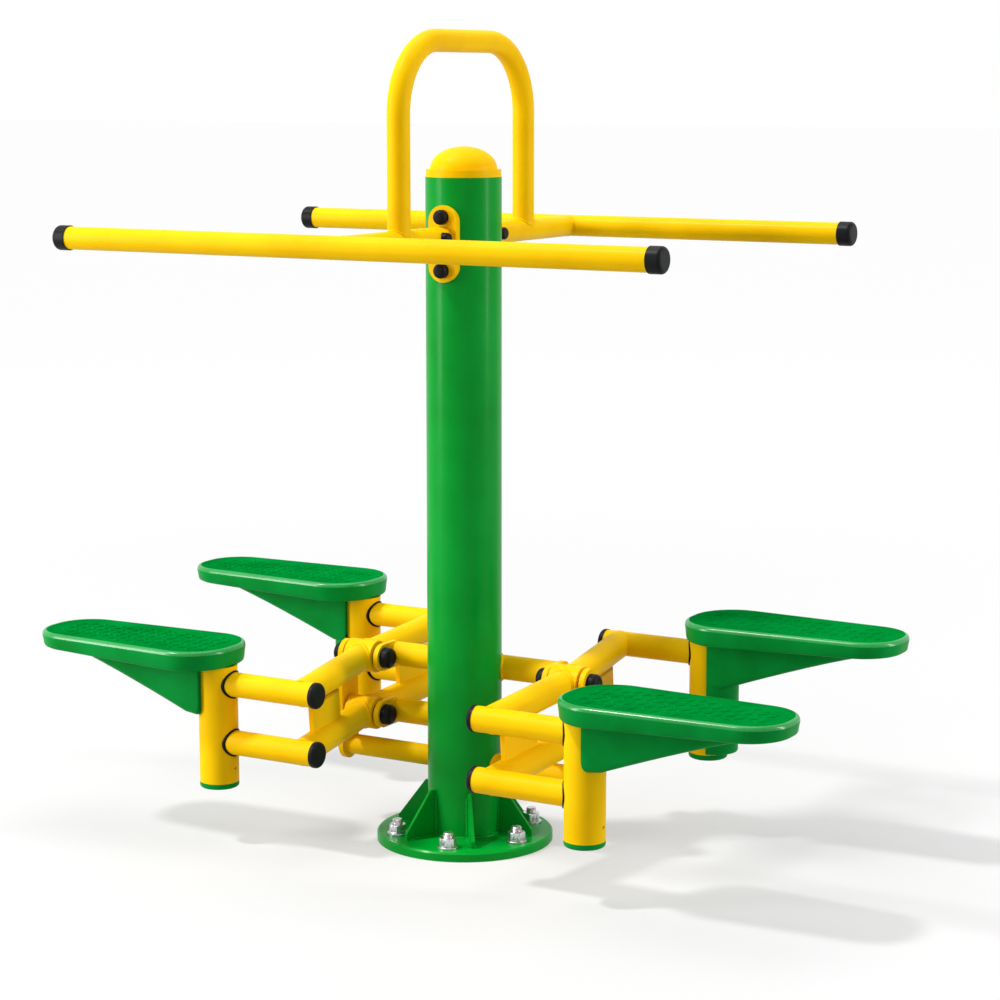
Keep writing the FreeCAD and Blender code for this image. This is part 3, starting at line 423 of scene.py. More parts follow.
def bridge_rings(mesh: Mesh, rings: Sequence[Sequence[Vector]], closed: bool = False) -> None:
    """Skins a row of rings with equal numbers of points, and caps the ends unless the row is closed.

    Args:
        mesh: The mesh that gets the faces.
        rings: Points of each ring, in order.
        closed: Whether the last ring joins the first.
    """
    loops = [[mesh.verts.new(point) for point in ring] for ring in rings]
    count = len(loops[0])
    pairs = list(zip(loops, loops[1:])) + ([(loops[-1], loops[0])] if closed else [])
    for low, high in pairs:
        for i in range(count):
            j = (i + 1) % count
            mesh.faces.new((low[i], low[j], high[j], high[i]))
    if not closed:
        mesh.faces.new(loops[0])
        mesh.faces.new(loops[-1])


def skinned(rings: Sequence[Sequence[Vector]], closed: bool = False) -> Mesh:
    """Makes a mesh of one row of rings.

    Args:
        rings: Points of each ring, in order.
        closed: Whether the last ring joins the first.

    Returns:
        The new mesh.
    """
    mesh = bmesh.new()
    bridge_rings(mesh, rings, closed)
    return mesh


def turned(mesh: Mesh, profile: Sequence[Pair], base: Vector, steps: int = 32) -> None:
    """Turns a closed piece about an upright axis.

    Args:
        mesh: The mesh that gets the faces.
        profile: Radius and height of each ring in metres, from one end to the other.
        base: The point of the axis at height zero.
        steps: Points around the axis.
    """
    rings = []
    for radius, height in profile:
        ring = [Vector((radius * math.cos(a), radius * math.sin(a), height)) for a in angles(steps)]
        rings.append([base + point for point in ring])
    bridge_rings(mesh, rings)


@dataclass
class Workshop:
    """Holds the frame and the finishes, and turns meshes into pieces that ride on the frame's bodies."""

    frame: dict
    materials: dict[str, bpy.types.Material] = field(default_factory=dict)

    def material(self, finish: Finish) -> bpy.types.Material:
        """Gives the material of a finish, made on first use.

        Args:
            finish: The finish.

        Returns:
            Its material.
        """
        if finish.name not in self.materials:
            self.materials[finish.name] = finish.material()
        return self.materials[finish.name]

    def joint_place(self, name: str) -> Vector:
        """Gives the place of a joint's axis in the frame, in metres."""
        return Vector(next(j["pos_m"] for j in self.frame["joints"] if j["name"] == name))

    def dress_nodes(self) -> None:
        """Gives every solid of the frame the finish of its slot."""
        for row in self.frame["record"]["subparts"]:
            node = self.frame["nodes"][row["node"]]
            node.data.materials.clear()
            node.data.materials.append(self.material(FINISHES[Slot(row["material_slot"])]))
            log.info("dressed %s in %s", row["node"], row["material_slot"])

    def piece(
        self, name: str, mesh: Mesh, body: str, slot: Slot,
        sharp_deg: float = 35.0, finish: Finish | None = None,
    ) -> bpy.types.Object:
        """Makes a piece of the object from a mesh.

        Args:
            name: The piece's name.
            mesh: Its mesh in metres, in the frame's axes. It is freed.
            body: The body it rides on.
            slot: The slot of its finish.
            sharp_deg: Edges that turn by more than this stay sharp.
            finish: Its finish, where it is not the slot's own.

        Returns:
            The new object.
        """
        bmesh.ops.remove_doubles(mesh, verts=mesh.verts, dist=SAME_POINT)
        bmesh.ops.recalc_face_normals(mesh, faces=mesh.faces)
        for face in mesh.faces:
            face.smooth = True
        for edge in mesh.edges:
            edge.smooth = edge.calc_face_angle(math.pi) < math.radians(sharp_deg)
        obj = mesh_object(name, mesh)
        obj.data.materials.append(self.material(finish or FINISHES[slot]))
        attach(obj, body)
        log.info("built %s on %s, %d faces", name, body, len(obj.data.polygons))
        return obj


@dataclass
class Footplate:
    """A moulded pedal: skirted plate, rounded rim, sunken tread with bumps, wedge bracket at the post."""

    shop: Workshop
    side: Side
    end: End
    length: float = 349 * MM
    inboard: float = 30.5 * MM
    inner_width: float = 164 * MM
    outer_width: float = 132 * MM
    inner_round: float = 70 * MM
    outer_round: float = 62 * MM
    corner_steps: int = 14
    height: float = 31 * MM
    taper: float = 7 * MM
    skirt_top: float = 8 * MM
    # Insets of the skirt's rings, with heights above its lower edge and then with depths below the rim.
    skirt_foot: tuple[Pair, ...] = (
        (8 * MM, 0.0), (5.2 * MM, 0.5 * MM), (3.2 * MM, 2 * MM), (2.2 * MM, 4.5 * MM),
    )
    skirt_wall: tuple[Pair, ...] = ((0.8 * MM, 13 * MM), (0.0, 8 * MM), (0.0, 6 * MM))
    # Insets and heights of the rim's rounding, from the skirt to the top.
    rim_rings: tuple[Pair, ...] = (
        (0.0, -6 * MM), (0.5 * MM, -3.7 * MM), (1.8 * MM, -1.8 * MM), (3.7 * MM, -0.5 * MM), (6 * MM, 0.0),
    )
    rim_cover: float = 0.35 * MM
    deck_tuck: float = 7 * MM
    tread_inset: float = 15 * MM
    tread_depth: float = 2 * MM
    # Insets from the tread's edge, with shares of the tread's depth.
    tread_edge: tuple[Pair, ...] = ((-5 * MM, 0.0), (-3 * MM, 0.15), (-0.8 * MM, 0.8), (0.5 * MM, 1.0))
    bump_pitch: Pair = (17 * MM, 15 * MM)
    bump_half: Pair = (8 * MM, 3 * MM)
    bump_lean: float = math.radians(38)
    bump_height: float = 1.8 * MM
    bump_clear: float = 12 * MM
    bump_steps: int = 12
    bump_sharp_deg: float = 80.0
    # Shares of a bump's size and of its height, from its foot to its top.
    bump_rings: tuple[Pair, ...] = ((1.0, -0.3), (0.93, 0.35), (0.7, 0.8), (0.35, 1.0))
    bracket_start: float = 12 * MM
    bracket_reach: float = 276 * MM
    bracket_flat: float = 40 * MM
    # Depths and widths of the bracket at its start, at the end of its level part and at its tip.
    bracket_depths: Triple = (76 * MM, 73 * MM, -3 * MM)
    bracket_widths: Triple = (72 * MM, 69 * MM, 50 * MM)
    bracket_corner: float = 9 * MM
    bracket_corner_share: float = 0.6
    bracket_corner_steps: int = 5
    bracket_overlap: float = 4 * MM
    bracket_sag: float = 1.15
    bracket_nose: float = 8 * MM
    bracket_sharp_deg: float = 50.0
    # Shares of the level part and of the slope at which the bracket has a section.
    level_shares: tuple[float, ...] = (0.0, 0.03, 0.08, 0.16, 0.28, 0.5, 0.8, 1.0)
    slope_shares: tuple[float, ...] = (0.03, 0.08, 0.16, 0.28, 0.42, 0.56, 0.7, 0.82, 0.92, 0.98, 1.0)
    bore: float = 30.4 * MM
    bore_steps: int = 64
    origin: Vector = field(init=False)

    @property
    def name(self) -> str:
        """Gives the name of the pedal's node and body."""
        return f"{self.side.station}_{self.end.name.lower()}_pedal"

    def __post_init__(self) -> None:
        """Finds the point of the pedal post's axis at the level of the plate's rim."""
        axis = self.shop.joint_place(self.name.replace("_pedal", "_level"))
        self.origin = Vector((axis.x, axis.y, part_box(self.name)[1].z))

    def place(self, x: float, y: float, z: float) -> Vector:
        """Puts a point given outward, sideways and upward from the origin into the frame."""
        return self.origin + Vector((self.side.value * x, y, z))

    def outline(self, inset: float) -> list[Pair]:
        """Works out the plate's outline, a tapered plate with four rounded corners.

        Args:
            inset: How far the outline lies inside the plate's outer edge.

        Returns:
            Points of the outline in order, outward and sideways from the post's axis.
        """
        near, far = -self.inboard, self.length - self.inboard
        taper = math.atan2(self.inner_width - self.outer_width, 2 * self.length)
        lean, slant = math.tan(taper), 1 / math.cos(taper)
        outer_y = self.outer_width / 2 + self.outer_round * (lean - slant)
        inner_y = self.inner_width / 2 - self.inner_round * (lean + slant)
        arcs = (
            (far - self.outer_round, outer_y, self.outer_round, 0.0, QUARTER - taper),
            (near + self.inner_round, inner_y, self.inner_round, QUARTER - taper, 2 * QUARTER),
            (near + self.inner_round, -inner_y, self.inner_round, 2 * QUARTER, 3 * QUARTER + taper),
            (far - self.outer_round, -outer_y, self.outer_round, 3 * QUARTER + taper, 4 * QUARTER),
        )
        points: list[Pair] = []
        for x, y, radius, first, last in arcs:
            reach = radius - inset
            for i in range(self.corner_steps + 1):
                angle = first + (last - first) * i / self.corner_steps
                points.append((x + reach * math.cos(angle), y + reach * math.sin(angle)))
        return points

    def ring(self, inset: float, z: float) -> list[Vector]:
        """Gives the plate's outline in the frame, at an inset and a height."""
        return [self.place(x, y, z) for x, y in self.outline(inset)]

    def half_width(self, x: float, inset: float) -> float:
        """Gives half the width of the outline at a place along the pedal.

        Args:
            x: Place outward from the post's axis.
            inset: How far the outline lies inside the plate's outer edge.

        Returns:
            The half width, or -1 past the outline's ends.
        """
        upper = [(px, py) for px, py in self.outline(inset) if py > 0]
        for (x1, y1), (x2, y2) in zip(upper, upper[1:]):
            if min(x1, x2) <= x <= max(x1, x2) and x1 != x2:
                return y1 + (y2 - y1) * (x - x1) / (x2 - x1)
        return -1.0

    def rise(self, x: float) -> float:
        """Gives the rise of the plate's underside at a place outward from the post's axis."""
        outer = self.length - self.inboard
        return self.taper * min(1.0, max(0.0, (x - self.bore) / (outer - self.bore)))

    def build_skirt(self) -> Mesh:
        """Builds the skirt round the plate, which grows lower inwards, from its rounded foot to the rim.

        Returns:
            The skirt's mesh.
        """
        profile = [(inset, up - self.height) for inset, up in self.skirt_foot]
        profile += [(inset, -down) for inset, down in self.skirt_wall]
        rings = []
        for inset, z in profile:
            share = max(0.0, (-z - self.skirt_top) / (self.height - self.skirt_top))
            rings.append([self.place(x, y, z + share * self.rise(x)) for x, y in self.outline(inset)])
        return skinned(rings)

    def rim_profile(self, sunk: float) -> list[Pair]:
        """Gives inset and height of the rim's rounding, its middle sunk by a depth."""
        first, *middle, last = self.rim_rings
        return [first, *((inset + sunk, z - sunk) for inset, z in middle), last]

    def build_rim(self) -> Mesh:
        """Builds the thin skin over the rim's rounding, glossier and lighter green: a painted highlight
        line.
        """
        skin = self.rim_profile(0.0) + self.rim_profile(2 * self.rim_cover)[-2:0:-1]
        return skinned([self.ring(inset, z) for inset, z in skin], closed=True)

    def build_deck(self) -> Mesh:
        """Builds the top of the plate, from inside the skirt over the rounded rim to the sunken tread.

        Returns:
            The deck's mesh.
        """
        profile = [(self.rim_cover, -self.deck_tuck), *self.rim_profile(self.rim_cover)[1:]]
        edge = [(self.tread_inset + inset, -share * self.tread_depth) for inset, share in self.tread_edge]
        return skinned([self.ring(inset, z) for inset, z in profile + edge])

    def bump(self, x: float, y: float, lean: float) -> list[list[Vector]]:
        """Works out a raised lozenge of the tread.

        Args:
            x: Place of its middle outward from the post's axis.
            y: Place of its middle sideways.
            lean: Turn of its long axis.

        Returns:
            The points of its rings, from its foot to its top.
        """
        half_x, half_y = self.bump_half
        rings = []
        for share, rise in self.bump_rings:
            height = -self.tread_depth + rise * self.bump_height
            ring = []
            for angle in angles(self.bump_steps):
                along, across = share * half_x * math.cos(angle), share * half_y * math.sin(angle)
                out = x + along * math.cos(lean) - across * math.sin(lean)
                aside = y + along * math.sin(lean) + across * math.cos(lean)
                ring.append(self.place(out, aside, height))
            rings.append(ring)
        return rings

    def build_bumps(self) -> Mesh:
        """Builds rows of raised lozenges on the tread, which lean to one side and the other in turn.

        Returns:
            The mesh of all the lozenges.
        """
        mesh = bmesh.new()
        step_x, step_y = self.bump_pitch
        columns = int((self.length - 2 * self.tread_inset) / step_x)
        start = self.length / 2 - self.inboard - columns * step_x / 2
        for column in range(columns + 1):
            x = start + column * step_x
            room = self.half_width(x, self.tread_inset + self.bump_clear)
            shift = step_y / 2 if column % 2 else 0.0
            rows = int((room + step_y) / step_y)
            for row in range(-rows, rows + 1):
                y = row * step_y + shift
                lean = self.bump_lean if (row + column) % 2 else -self.bump_lean
                if abs(y) <= room:
                    bridge_rings(mesh, self.bump(x, y, lean))
        return mesh

    def bracket_section(self, x: float) -> list[Vector]:
        """Works out one cross-section of the wedge bracket, a hanging U with rounded lower corners.

        Args:
            x: Place outward from the post's axis.

        Returns:
            Points of the section in the frame, in order.
        """
        along = max(0.0, (x - self.bracket_flat) / (self.bracket_reach - self.bracket_flat))
        root, knee, tip = self.bracket_depths
        root_width, knee_width, tip_width = self.bracket_widths
        if along > 0:
            depth = tip + (knee - tip) * (1 - along) ** self.bracket_sag
            width = knee_width + (tip_width - knee_width) * along
        else:
            share = (x - self.bracket_start) / (self.bracket_flat - self.bracket_start)
            depth = root + (knee - root) * share
            width = root_width + (knee_width - root_width) * share
        top = -self.height + self.rise(x) + self.bracket_overlap
        nose = max(0.0, 1 - (x - self.bracket_start) / self.bracket_nose)
        low = -self.height - depth + self.bracket_nose * (1 - math.sqrt(1 - nose ** 2))
        corner = min(self.bracket_corner, self.bracket_corner_share * (top - low))
        section = [self.place(x, width / 2, top)]
        for side, first in ((1, 0.0), (-1, -QUARTER)):
            for i in range(self.bracket_corner_steps + 1):
                angle = first - QUARTER * i / self.bracket_corner_steps
                y = side * (width / 2 - corner) + corner * math.cos(angle)
                section.append(self.place(x, y, low + corner + corner * math.sin(angle)))
        section.append(self.place(x, -width / 2, top))
        return section

    def build_bracket(self) -> Mesh:
        """Builds the wedge bracket, from the post's outer side to its thin rounded tip.

        Returns:
            The bracket's mesh.
        """
        level = self.bracket_flat - self.bracket_start
        slope = self.bracket_reach - self.bracket_flat
        stations = [self.bracket_start + level * share for share in self.level_shares]
        stations += [self.bracket_flat + slope * share for share in self.slope_shares]
        return self.bored(skinned([self.bracket_section(x) for x in stations]))

    def bored(self, mesh: Mesh) -> Mesh:
        """Cuts the seat of the pedal post out of the bracket.

        Args:
            mesh: The bracket. It is freed.

        Returns:
            The bracket with its half-round seat.
        """
        tool = bmesh.new()
        low = -self.height - 2 * self.bracket_depths[0]
        turned(tool, ((self.bore, low), (self.bore, -self.height)), self.origin, self.bore_steps)
        objects = []
        for name, part in (("bracket_blank", mesh), ("seat_tool", tool)):
            bmesh.ops.recalc_face_normals(part, faces=part.faces)
            objects.append(mesh_object(name, part))
        blank, cutter = objects
        cut = blank.modifiers.new("seat", "BOOLEAN")
        cut.operation = "DIFFERENCE"
        cut.solver = "EXACT"
        cut.object = cutter
        result = bmesh.new()
        result.from_object(blank, bpy.context.evaluated_depsgraph_get())
        for obj in objects:
            bpy.data.objects.remove(obj)
        return result

    def build(self) -> None:
        """Builds the pedal, which stands for its solid."""
        bracket = self.build_bracket()
        plastic = Slot.GREEN_PLASTIC
        moulding = self.shop.piece(f"{self.name}_moulding", self.build_skirt(), self.name, plastic)
        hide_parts(self.name)
        # The deck and the bumps are darker green than the rest of the pedal: painted shade.
        self.shop.piece(f"{self.name}_deck", self.build_deck(), self.name, plastic, finish=SHADE_DARKENED_TREAD_FINISH)
        self.shop.piece(f"{self.name}_wedge", bracket, self.name, plastic, self.bracket_sharp_deg)
        # The rim skin is lighter green than the rest of the pedal: a painted highlight line.
        self.shop.piece(f"{self.name}_rim", self.build_rim(), self.name, plastic, finish=RIM_HIGHLIGHT_FINISH)
        self.shop.piece(
            f"{self.name}_tread", self.build_bumps(), self.name, plastic, self.bump_sharp_deg, SHADE_DARKENED_TREAD_FINISH,
        )


@dataclass
class RearShroud:
    """Round-nosed green shroud on the outer side of a rear pedal post, from its bracket to near its plug."""

    shop: Workshop
    side: Side
    inner: float = 30.4 * MM
    half_width: float = 35.5 * MM
    nose_middle: float = 12 * MM
    start: float = 12 * MM
    bottom_gap: float = 3 * MM
    overlap: float = 14 * MM
    edge: float = 3 * MM
    edge_middle: float = 0.9 * MM
    steps: int = 28

    def section(self, z: float, trim: float, axis: Vector) -> list[Vector]:
        """Works out one level section: a round nose with straight flanks, hollow where the post is.

        Args:
            z: Height of the section.
            trim: How far the outer face is drawn in, for rounded ends.
            axis: A point of the post's axis.

        Returns:
            Points of the section in order.
        """
        half = self.half_width - trim
        seat = math.acos(self.start / self.inner)
        shares = [2 * i / self.steps - 1 for i in range(self.steps + 1)]
        flat = [(self.start, -half)]
        for angle in (QUARTER * share for share in shares):
            flat.append((self.nose_middle + half * math.cos(angle), half * math.sin(angle)))
        flat.append((self.start, half))
        for angle in (seat * share for share in reversed(shares)):
            flat.append((self.inner * math.cos(angle), self.inner * math.sin(angle)))
        return [Vector((axis.x + self.side.value * x, axis.y + y, z)) for x, y in flat]

    def build(self) -> None:
        """Builds the shroud between the bracket's underside and the foot of the post."""
        station = self.side.station
        body = f"{station}_rear_pedal"
        axis = self.shop.joint_place(f"{station}_rear_level")
        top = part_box(body)[0].z + self.overlap
        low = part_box(f"{station}_rear_pedal_post")[0].z + self.bottom_gap
        levels = (
            (low, self.edge), (low + self.edge_middle, self.edge_middle), (low + self.edge, 0.0), (top, 0.0),
        )
        mesh = skinned([self.section(z, trim, axis) for z, trim in levels])
        self.shop.piece(f"{station}_rear_shroud", mesh, body, Slot.GREEN_PLASTIC)


@dataclass
class AnchorSet:
    """Anchor studs of the footing with nuts and washers, in the flange's six holes."""

    shop: Workshop
    circle: float = 216 * MM
    first_angle: float = math.radians(47)
    count: int = 6
    stud: float = 16 * MM
    stud_proud: float = 8 * MM
    stud_steps: int = 24
    foot_chamfer: Pair = (0.6 * MM, 0.4 * MM)
    tip_chamfer: float = 1.5 * MM
    thread_pitch: float = 2 * MM
    thread_depth: float = 0.9 * MM
    washer: float = 32 * MM
    washer_height: float = 3 * MM
    washer_edge: float = 0.4 * MM
    nut_flats: float = 24 * MM
    nut_height: float = 13 * MM
    nut_chamfer: float = 0.88 * MM
    nut_steps: int = 48
    # Each nut is turned by its place round the flange times this, so that no two stand alike.
    nut_turn: float = 1.7
    sharp_deg: float = 30.0

    def build_washer(self, mesh: Mesh, seat: Vector) -> None:
        """Adds a washer with broken edges.

        Args:
            mesh: The mesh that gets the faces.
            seat: Middle of the washer's underside.
        """
        radius, height, edge = self.washer / 2, self.washer_height, self.washer_edge
        profile = ((radius - edge, 0.0), (radius, edge), (radius, height - edge), (radius - edge, height))
        turned(mesh, profile, seat)

    def build_nut(self, mesh: Mesh, seat: Vector, turn: float) -> None:
        """Adds a hexagon nut with chamfered corners.

        Args:
            mesh: The mesh that gets the faces.
            seat: Middle of the nut's underside.
            turn: Turn of the nut about its axis.
        """
        flat, corner = self.nut_flats / 2, self.nut_flats / math.sqrt(3)
        sector = TURN / 6
        rings = []
        for height, limit in (
            (0.0, flat), (self.nut_chamfer, corner),
            (self.nut_height - self.nut_chamfer, corner), (self.nut_height, flat),
        ):
            ring = []
            for angle in angles(self.nut_steps):
                to_flat = (angle + sector / 2) % sector - sector / 2
                radius = min(flat / math.cos(to_flat), limit)
                across, along = radius * math.cos(angle + turn), radius * math.sin(angle + turn)
                ring.append(seat + Vector((across, along, height)))
            rings.append(ring)
        bridge_rings(mesh, rings)

    def build_stud(self, mesh: Mesh, foot: Vector, nut_top: float) -> None:
        """Adds a stud with its thread above the nut.

        Args:
            mesh: The mesh that gets the faces.
            foot: Middle of the stud's lower end.
            nut_top: Height of the nut's top above the foot.
        """
        radius = self.stud / 2
        tip = nut_top + self.stud_proud
        inset, rise = self.foot_chamfer
        profile = [(radius - inset, 0.0), (radius, rise)]
        for turn in range(int((self.stud_proud - self.tip_chamfer) / self.thread_pitch)):
            level = nut_top + turn * self.thread_pitch
            profile += [(radius, level), (radius - self.thread_depth, level + self.thread_pitch / 2)]
        profile += [(radius, tip - self.tip_chamfer), (radius - self.tip_chamfer, tip)]
        turned(mesh, profile, foot, self.stud_steps)

    def build(self) -> None:
        """Builds the six sets as one piece."""
        mesh = bmesh.new()
        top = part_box("base_flange")[1].z
        nut_foot = top + self.washer_height
        radius = self.circle / 2
        for index in range(self.count):
            angle = self.first_angle + TURN * index / self.count
            spot = Vector((radius * math.cos(angle), radius * math.sin(angle), 0))
            self.build_washer(mesh, spot + UP * top)
            self.build_nut(mesh, spot + UP * nut_foot, angle * self.nut_turn)
            self.build_stud(mesh, spot, nut_foot + self.nut_height)
        self.shop.piece("anchor_studs", mesh, "frame", Slot.ZINC_STEEL, self.sharp_deg)


@dataclass
class WeldSeams:
    """Painted weld beads where tubes, plates and hubs meet."""

    shop: Workshop
    bead: float = 2.6 * MM
    bead_sides: int = 8
    ripple: float = 0.35 * MM
    ripple_pitch: float = 4 * MM
    # A direction that no seam follows, from which the sides of a bead are found.
    guide: Triple = (0.3, 0.2, 1.0)
    sharp_deg: float = 80.0
    tube_steps: int = 96
    post_steps: int = 120
    gusset_steps: int = 24
    post_radius: float = 57.15 * MM
    post_lift: float = 0.78 * MM
    grip_radius: float = 16.85 * MM
    grip_height: float = 930 * MM
    # A bead between equal tubes lies at this share of their radius, and sinks in by this share of the bead.
    seat_share: float = 0.995
    seat_sink: float = 0.8
    bar_spread: float = 333 * MM
    hoop_half_width: float = 182 * MM
    arm_radius: float = 19 * MM
    arm_offset: float = 36 * MM
    stay_radius: float = 16 * MM
    stay_height: float = 122 * MM
    hub_radius: float = 25 * MM
    beam_radius: float = 21.2 * MM
    beam_splay: float = math.radians(5)
    rest_tilt: float = math.radians(5)
    gusset_half: float = 2.5 * MM
    gusset_lift: float = 0.52 * MM
    gusset_turn: float = math.radians(67)
    gusset_reach: float = 112 * MM
    gusset_height: float = 71 * MM
    gusset_foot_gap: float = 5.2 * MM
    gusset_top_gap: float = 7.8 * MM
    gussets: int = 6

    def sweep(self, mesh: Mesh, path: Sequence[Vector], closed: bool = True) -> None:
        """Lays a rippled bead along a path.

        Args:
            mesh: The mesh that gets the faces.
            path: Points of the seam, in order.
            closed: Whether the path is a loop.
        """
        count = len(path)
        rings = []
        run = 0.0
        for i, point in enumerate(path):
            ahead = path[(i + 1) % count] if closed or i + 1 < count else point
            behind = path[i - 1] if closed or i else point
            along = (ahead - behind).normalized()
            side = along.cross(Vector(self.guide)).normalized()
            up = side.cross(along)
            run += (point - path[i - 1]).length if i else 0.0
            radius = self.bead + self.ripple * math.cos(TURN * run / self.ripple_pitch)
            spokes = [math.cos(a) * side + math.sin(a) * up for a in angles(self.bead_sides)]
            rings.append([point + radius * spoke for spoke in spokes])
        bridge_rings(mesh, rings, closed)

    def seat(self, closeness: float) -> float:
        """Gives a seam's radius between equal tubes, sunk in where they lie side by side, at 1 or -1."""
        return self.seat_share * self.grip_radius - self.seat_sink * self.bead * closeness ** 2

    def post_seam(self, side: Side, offset: float, level: float, radius: float) -> list[Vector]:
        """Works out the seam between a side tube and the post.

        Args:
            side: The side to which the tube leads.
            offset: Place of the tube's axis along Y.
            level: Height of the tube's axis.
            radius: Radius of the tube.

        Returns:
            Points of the seam, in order.
        """
        seam = []
        for a in angles(self.tube_steps):
            y = offset + radius * math.cos(a)
            x = side.value * math.sqrt(self.post_radius ** 2 - y ** 2)
            seam.append(Vector((x, y, level + radius * math.sin(a))))
        return seam

    def bar_seam(self, end: End) -> list[Vector]:
        """Works out the seam between an arm tube and its handlebar.

        Args:
            end: The end of the frame where the tubes meet.

        Returns:
            Points of the seam, in order.
        """
        seam = []
        for a in angles(self.tube_steps):
            radius = self.seat(math.sin(a))
            x, z = radius * math.cos(a), radius * math.sin(a)
            y = end.value * (self.bar_spread - math.sqrt(self.grip_radius ** 2 - z ** 2))
            seam.append(Vector((x, y, self.grip_height + z)))
        return seam

    def hoop_seam(self, end: End) -> list[Vector]:
        """Works out the seam between a hoop leg and its arm tube.

        Args:
            end: The end of the frame where the tubes meet.

        Returns:
            Points of the seam, in order.
        """
        seam = []
        for a in angles(self.tube_steps):
            radius = self.seat(math.cos(a))
            x, y = radius * math.cos(a), radius * math.sin(a)
            z = self.grip_height + math.sqrt(self.grip_radius ** 2 - x ** 2)
            seam.append(Vector((x, end.value * self.hoop_half_width + y, z)))
        return seam

    def hub_seam(self, axle: Vector, side: Side, end: End) -> list[Vector]:
        """Works out the seam between a slanting beam and its hub.

        Args:
            axle: Middle of the hub.
            side: The station.
            end: The end to which the beam leads.

        Returns:
            Points of the seam, in order.
        """
        tilt = Matrix.Rotation(self.rest_tilt, 3, "X")
        slant = side.value * end.value * self.beam_splay
        seam = []
        for a in angles(self.tube_steps):
            across, z = self.beam_radius * math.cos(a), self.beam_radius * math.sin(a)
            y = end.value * math.sqrt(self.hub_radius ** 2 - z ** 2)
            along = (y - across * math.sin(slant)) / math.cos(slant)
            x = across * math.cos(slant) - along * math.sin(slant)
            seam.append(axle + tilt @ Vector((x, y, z)))
        return seam

    def build_frame_seams(self) -> None:
        """Builds the seams of the fixed tubes, in the colour of the tubes."""
        mesh = bmesh.new()
        for side in Side:
            for joint in ("step", "lower_swing"):
                level = self.shop.joint_place(f"{side.station}_{joint}").z
                self.sweep(mesh, self.post_seam(side, self.arm_offset, level, self.arm_radius))
            self.sweep(mesh, self.post_seam(side, 0.0, self.stay_height, self.stay_radius))
        for end in End:
            self.sweep(mesh, self.bar_seam(end))
            self.sweep(mesh, self.hoop_seam(end))
        self.shop.piece("tube_welds", mesh, "frame", Slot.YELLOW_PAINT, self.sharp_deg)

    def build_base_seams(self) -> None:
        """Builds the seams of the post, the gussets and the flange."""
        mesh = bmesh.new()
        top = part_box("base_flange")[1].z
        radius = self.post_radius + self.post_lift
        steps = self.gusset_steps
        circle = [Vector((radius * math.cos(a), radius * math.sin(a), top)) for a in angles(self.post_steps)]
        self.sweep(mesh, circle)
        for index in range(self.gussets):
            angle = self.gusset_turn + TURN * index / self.gussets
            out = Vector((math.cos(angle), math.sin(angle), 0))
            across = Vector((-math.sin(angle), math.cos(angle), 0))
            for sign in (1, -1):
                face = UP * top + across * sign * (self.gusset_half + self.gusset_lift)
                start = face + self.post_radius * out
                along_flange = face + (self.gusset_reach - self.gusset_foot_gap) * out
                up_post = start + UP * (self.gusset_height - self.gusset_top_gap)
                for stop in (along_flange, up_post):
                    self.sweep(mesh, [start.lerp(stop, i / steps) for i in range(steps + 1)], closed=False)
        self.shop.piece("base_welds", mesh, "frame", Slot.GREEN_PAINT, self.sharp_deg)

    def build_rocker_seams(self) -> None:
        """Builds the seams between the hubs and the beams, which swing with the rockers."""
        for side in Side:
            for level, joint in (("upper", "step"), ("lower", "lower_swing")):
                axle = self.shop.joint_place(f"{side.station}_{joint}")
                mesh = bmesh.new()
                for end in (End.REAR, End.FRONT):
                    self.sweep(mesh, self.hub_seam(axle, side, end))
                body = f"{side.station}_{level}_rocker"
                self.shop.piece(f"{body}_welds", mesh, body, Slot.YELLOW_PAINT, self.sharp_deg)

    def build(self) -> None:
        """Builds all the seams."""
        self.build_frame_seams()
        self.build_base_seams()
        self.build_rocker_seams()


@dataclass(frozen=True)
class Lamp:
    """A softbox: a rectangular lamp that looks at the object."""

    name: str
    place: Triple
    aim: Triple
    width: float
    height: float
    watts: float


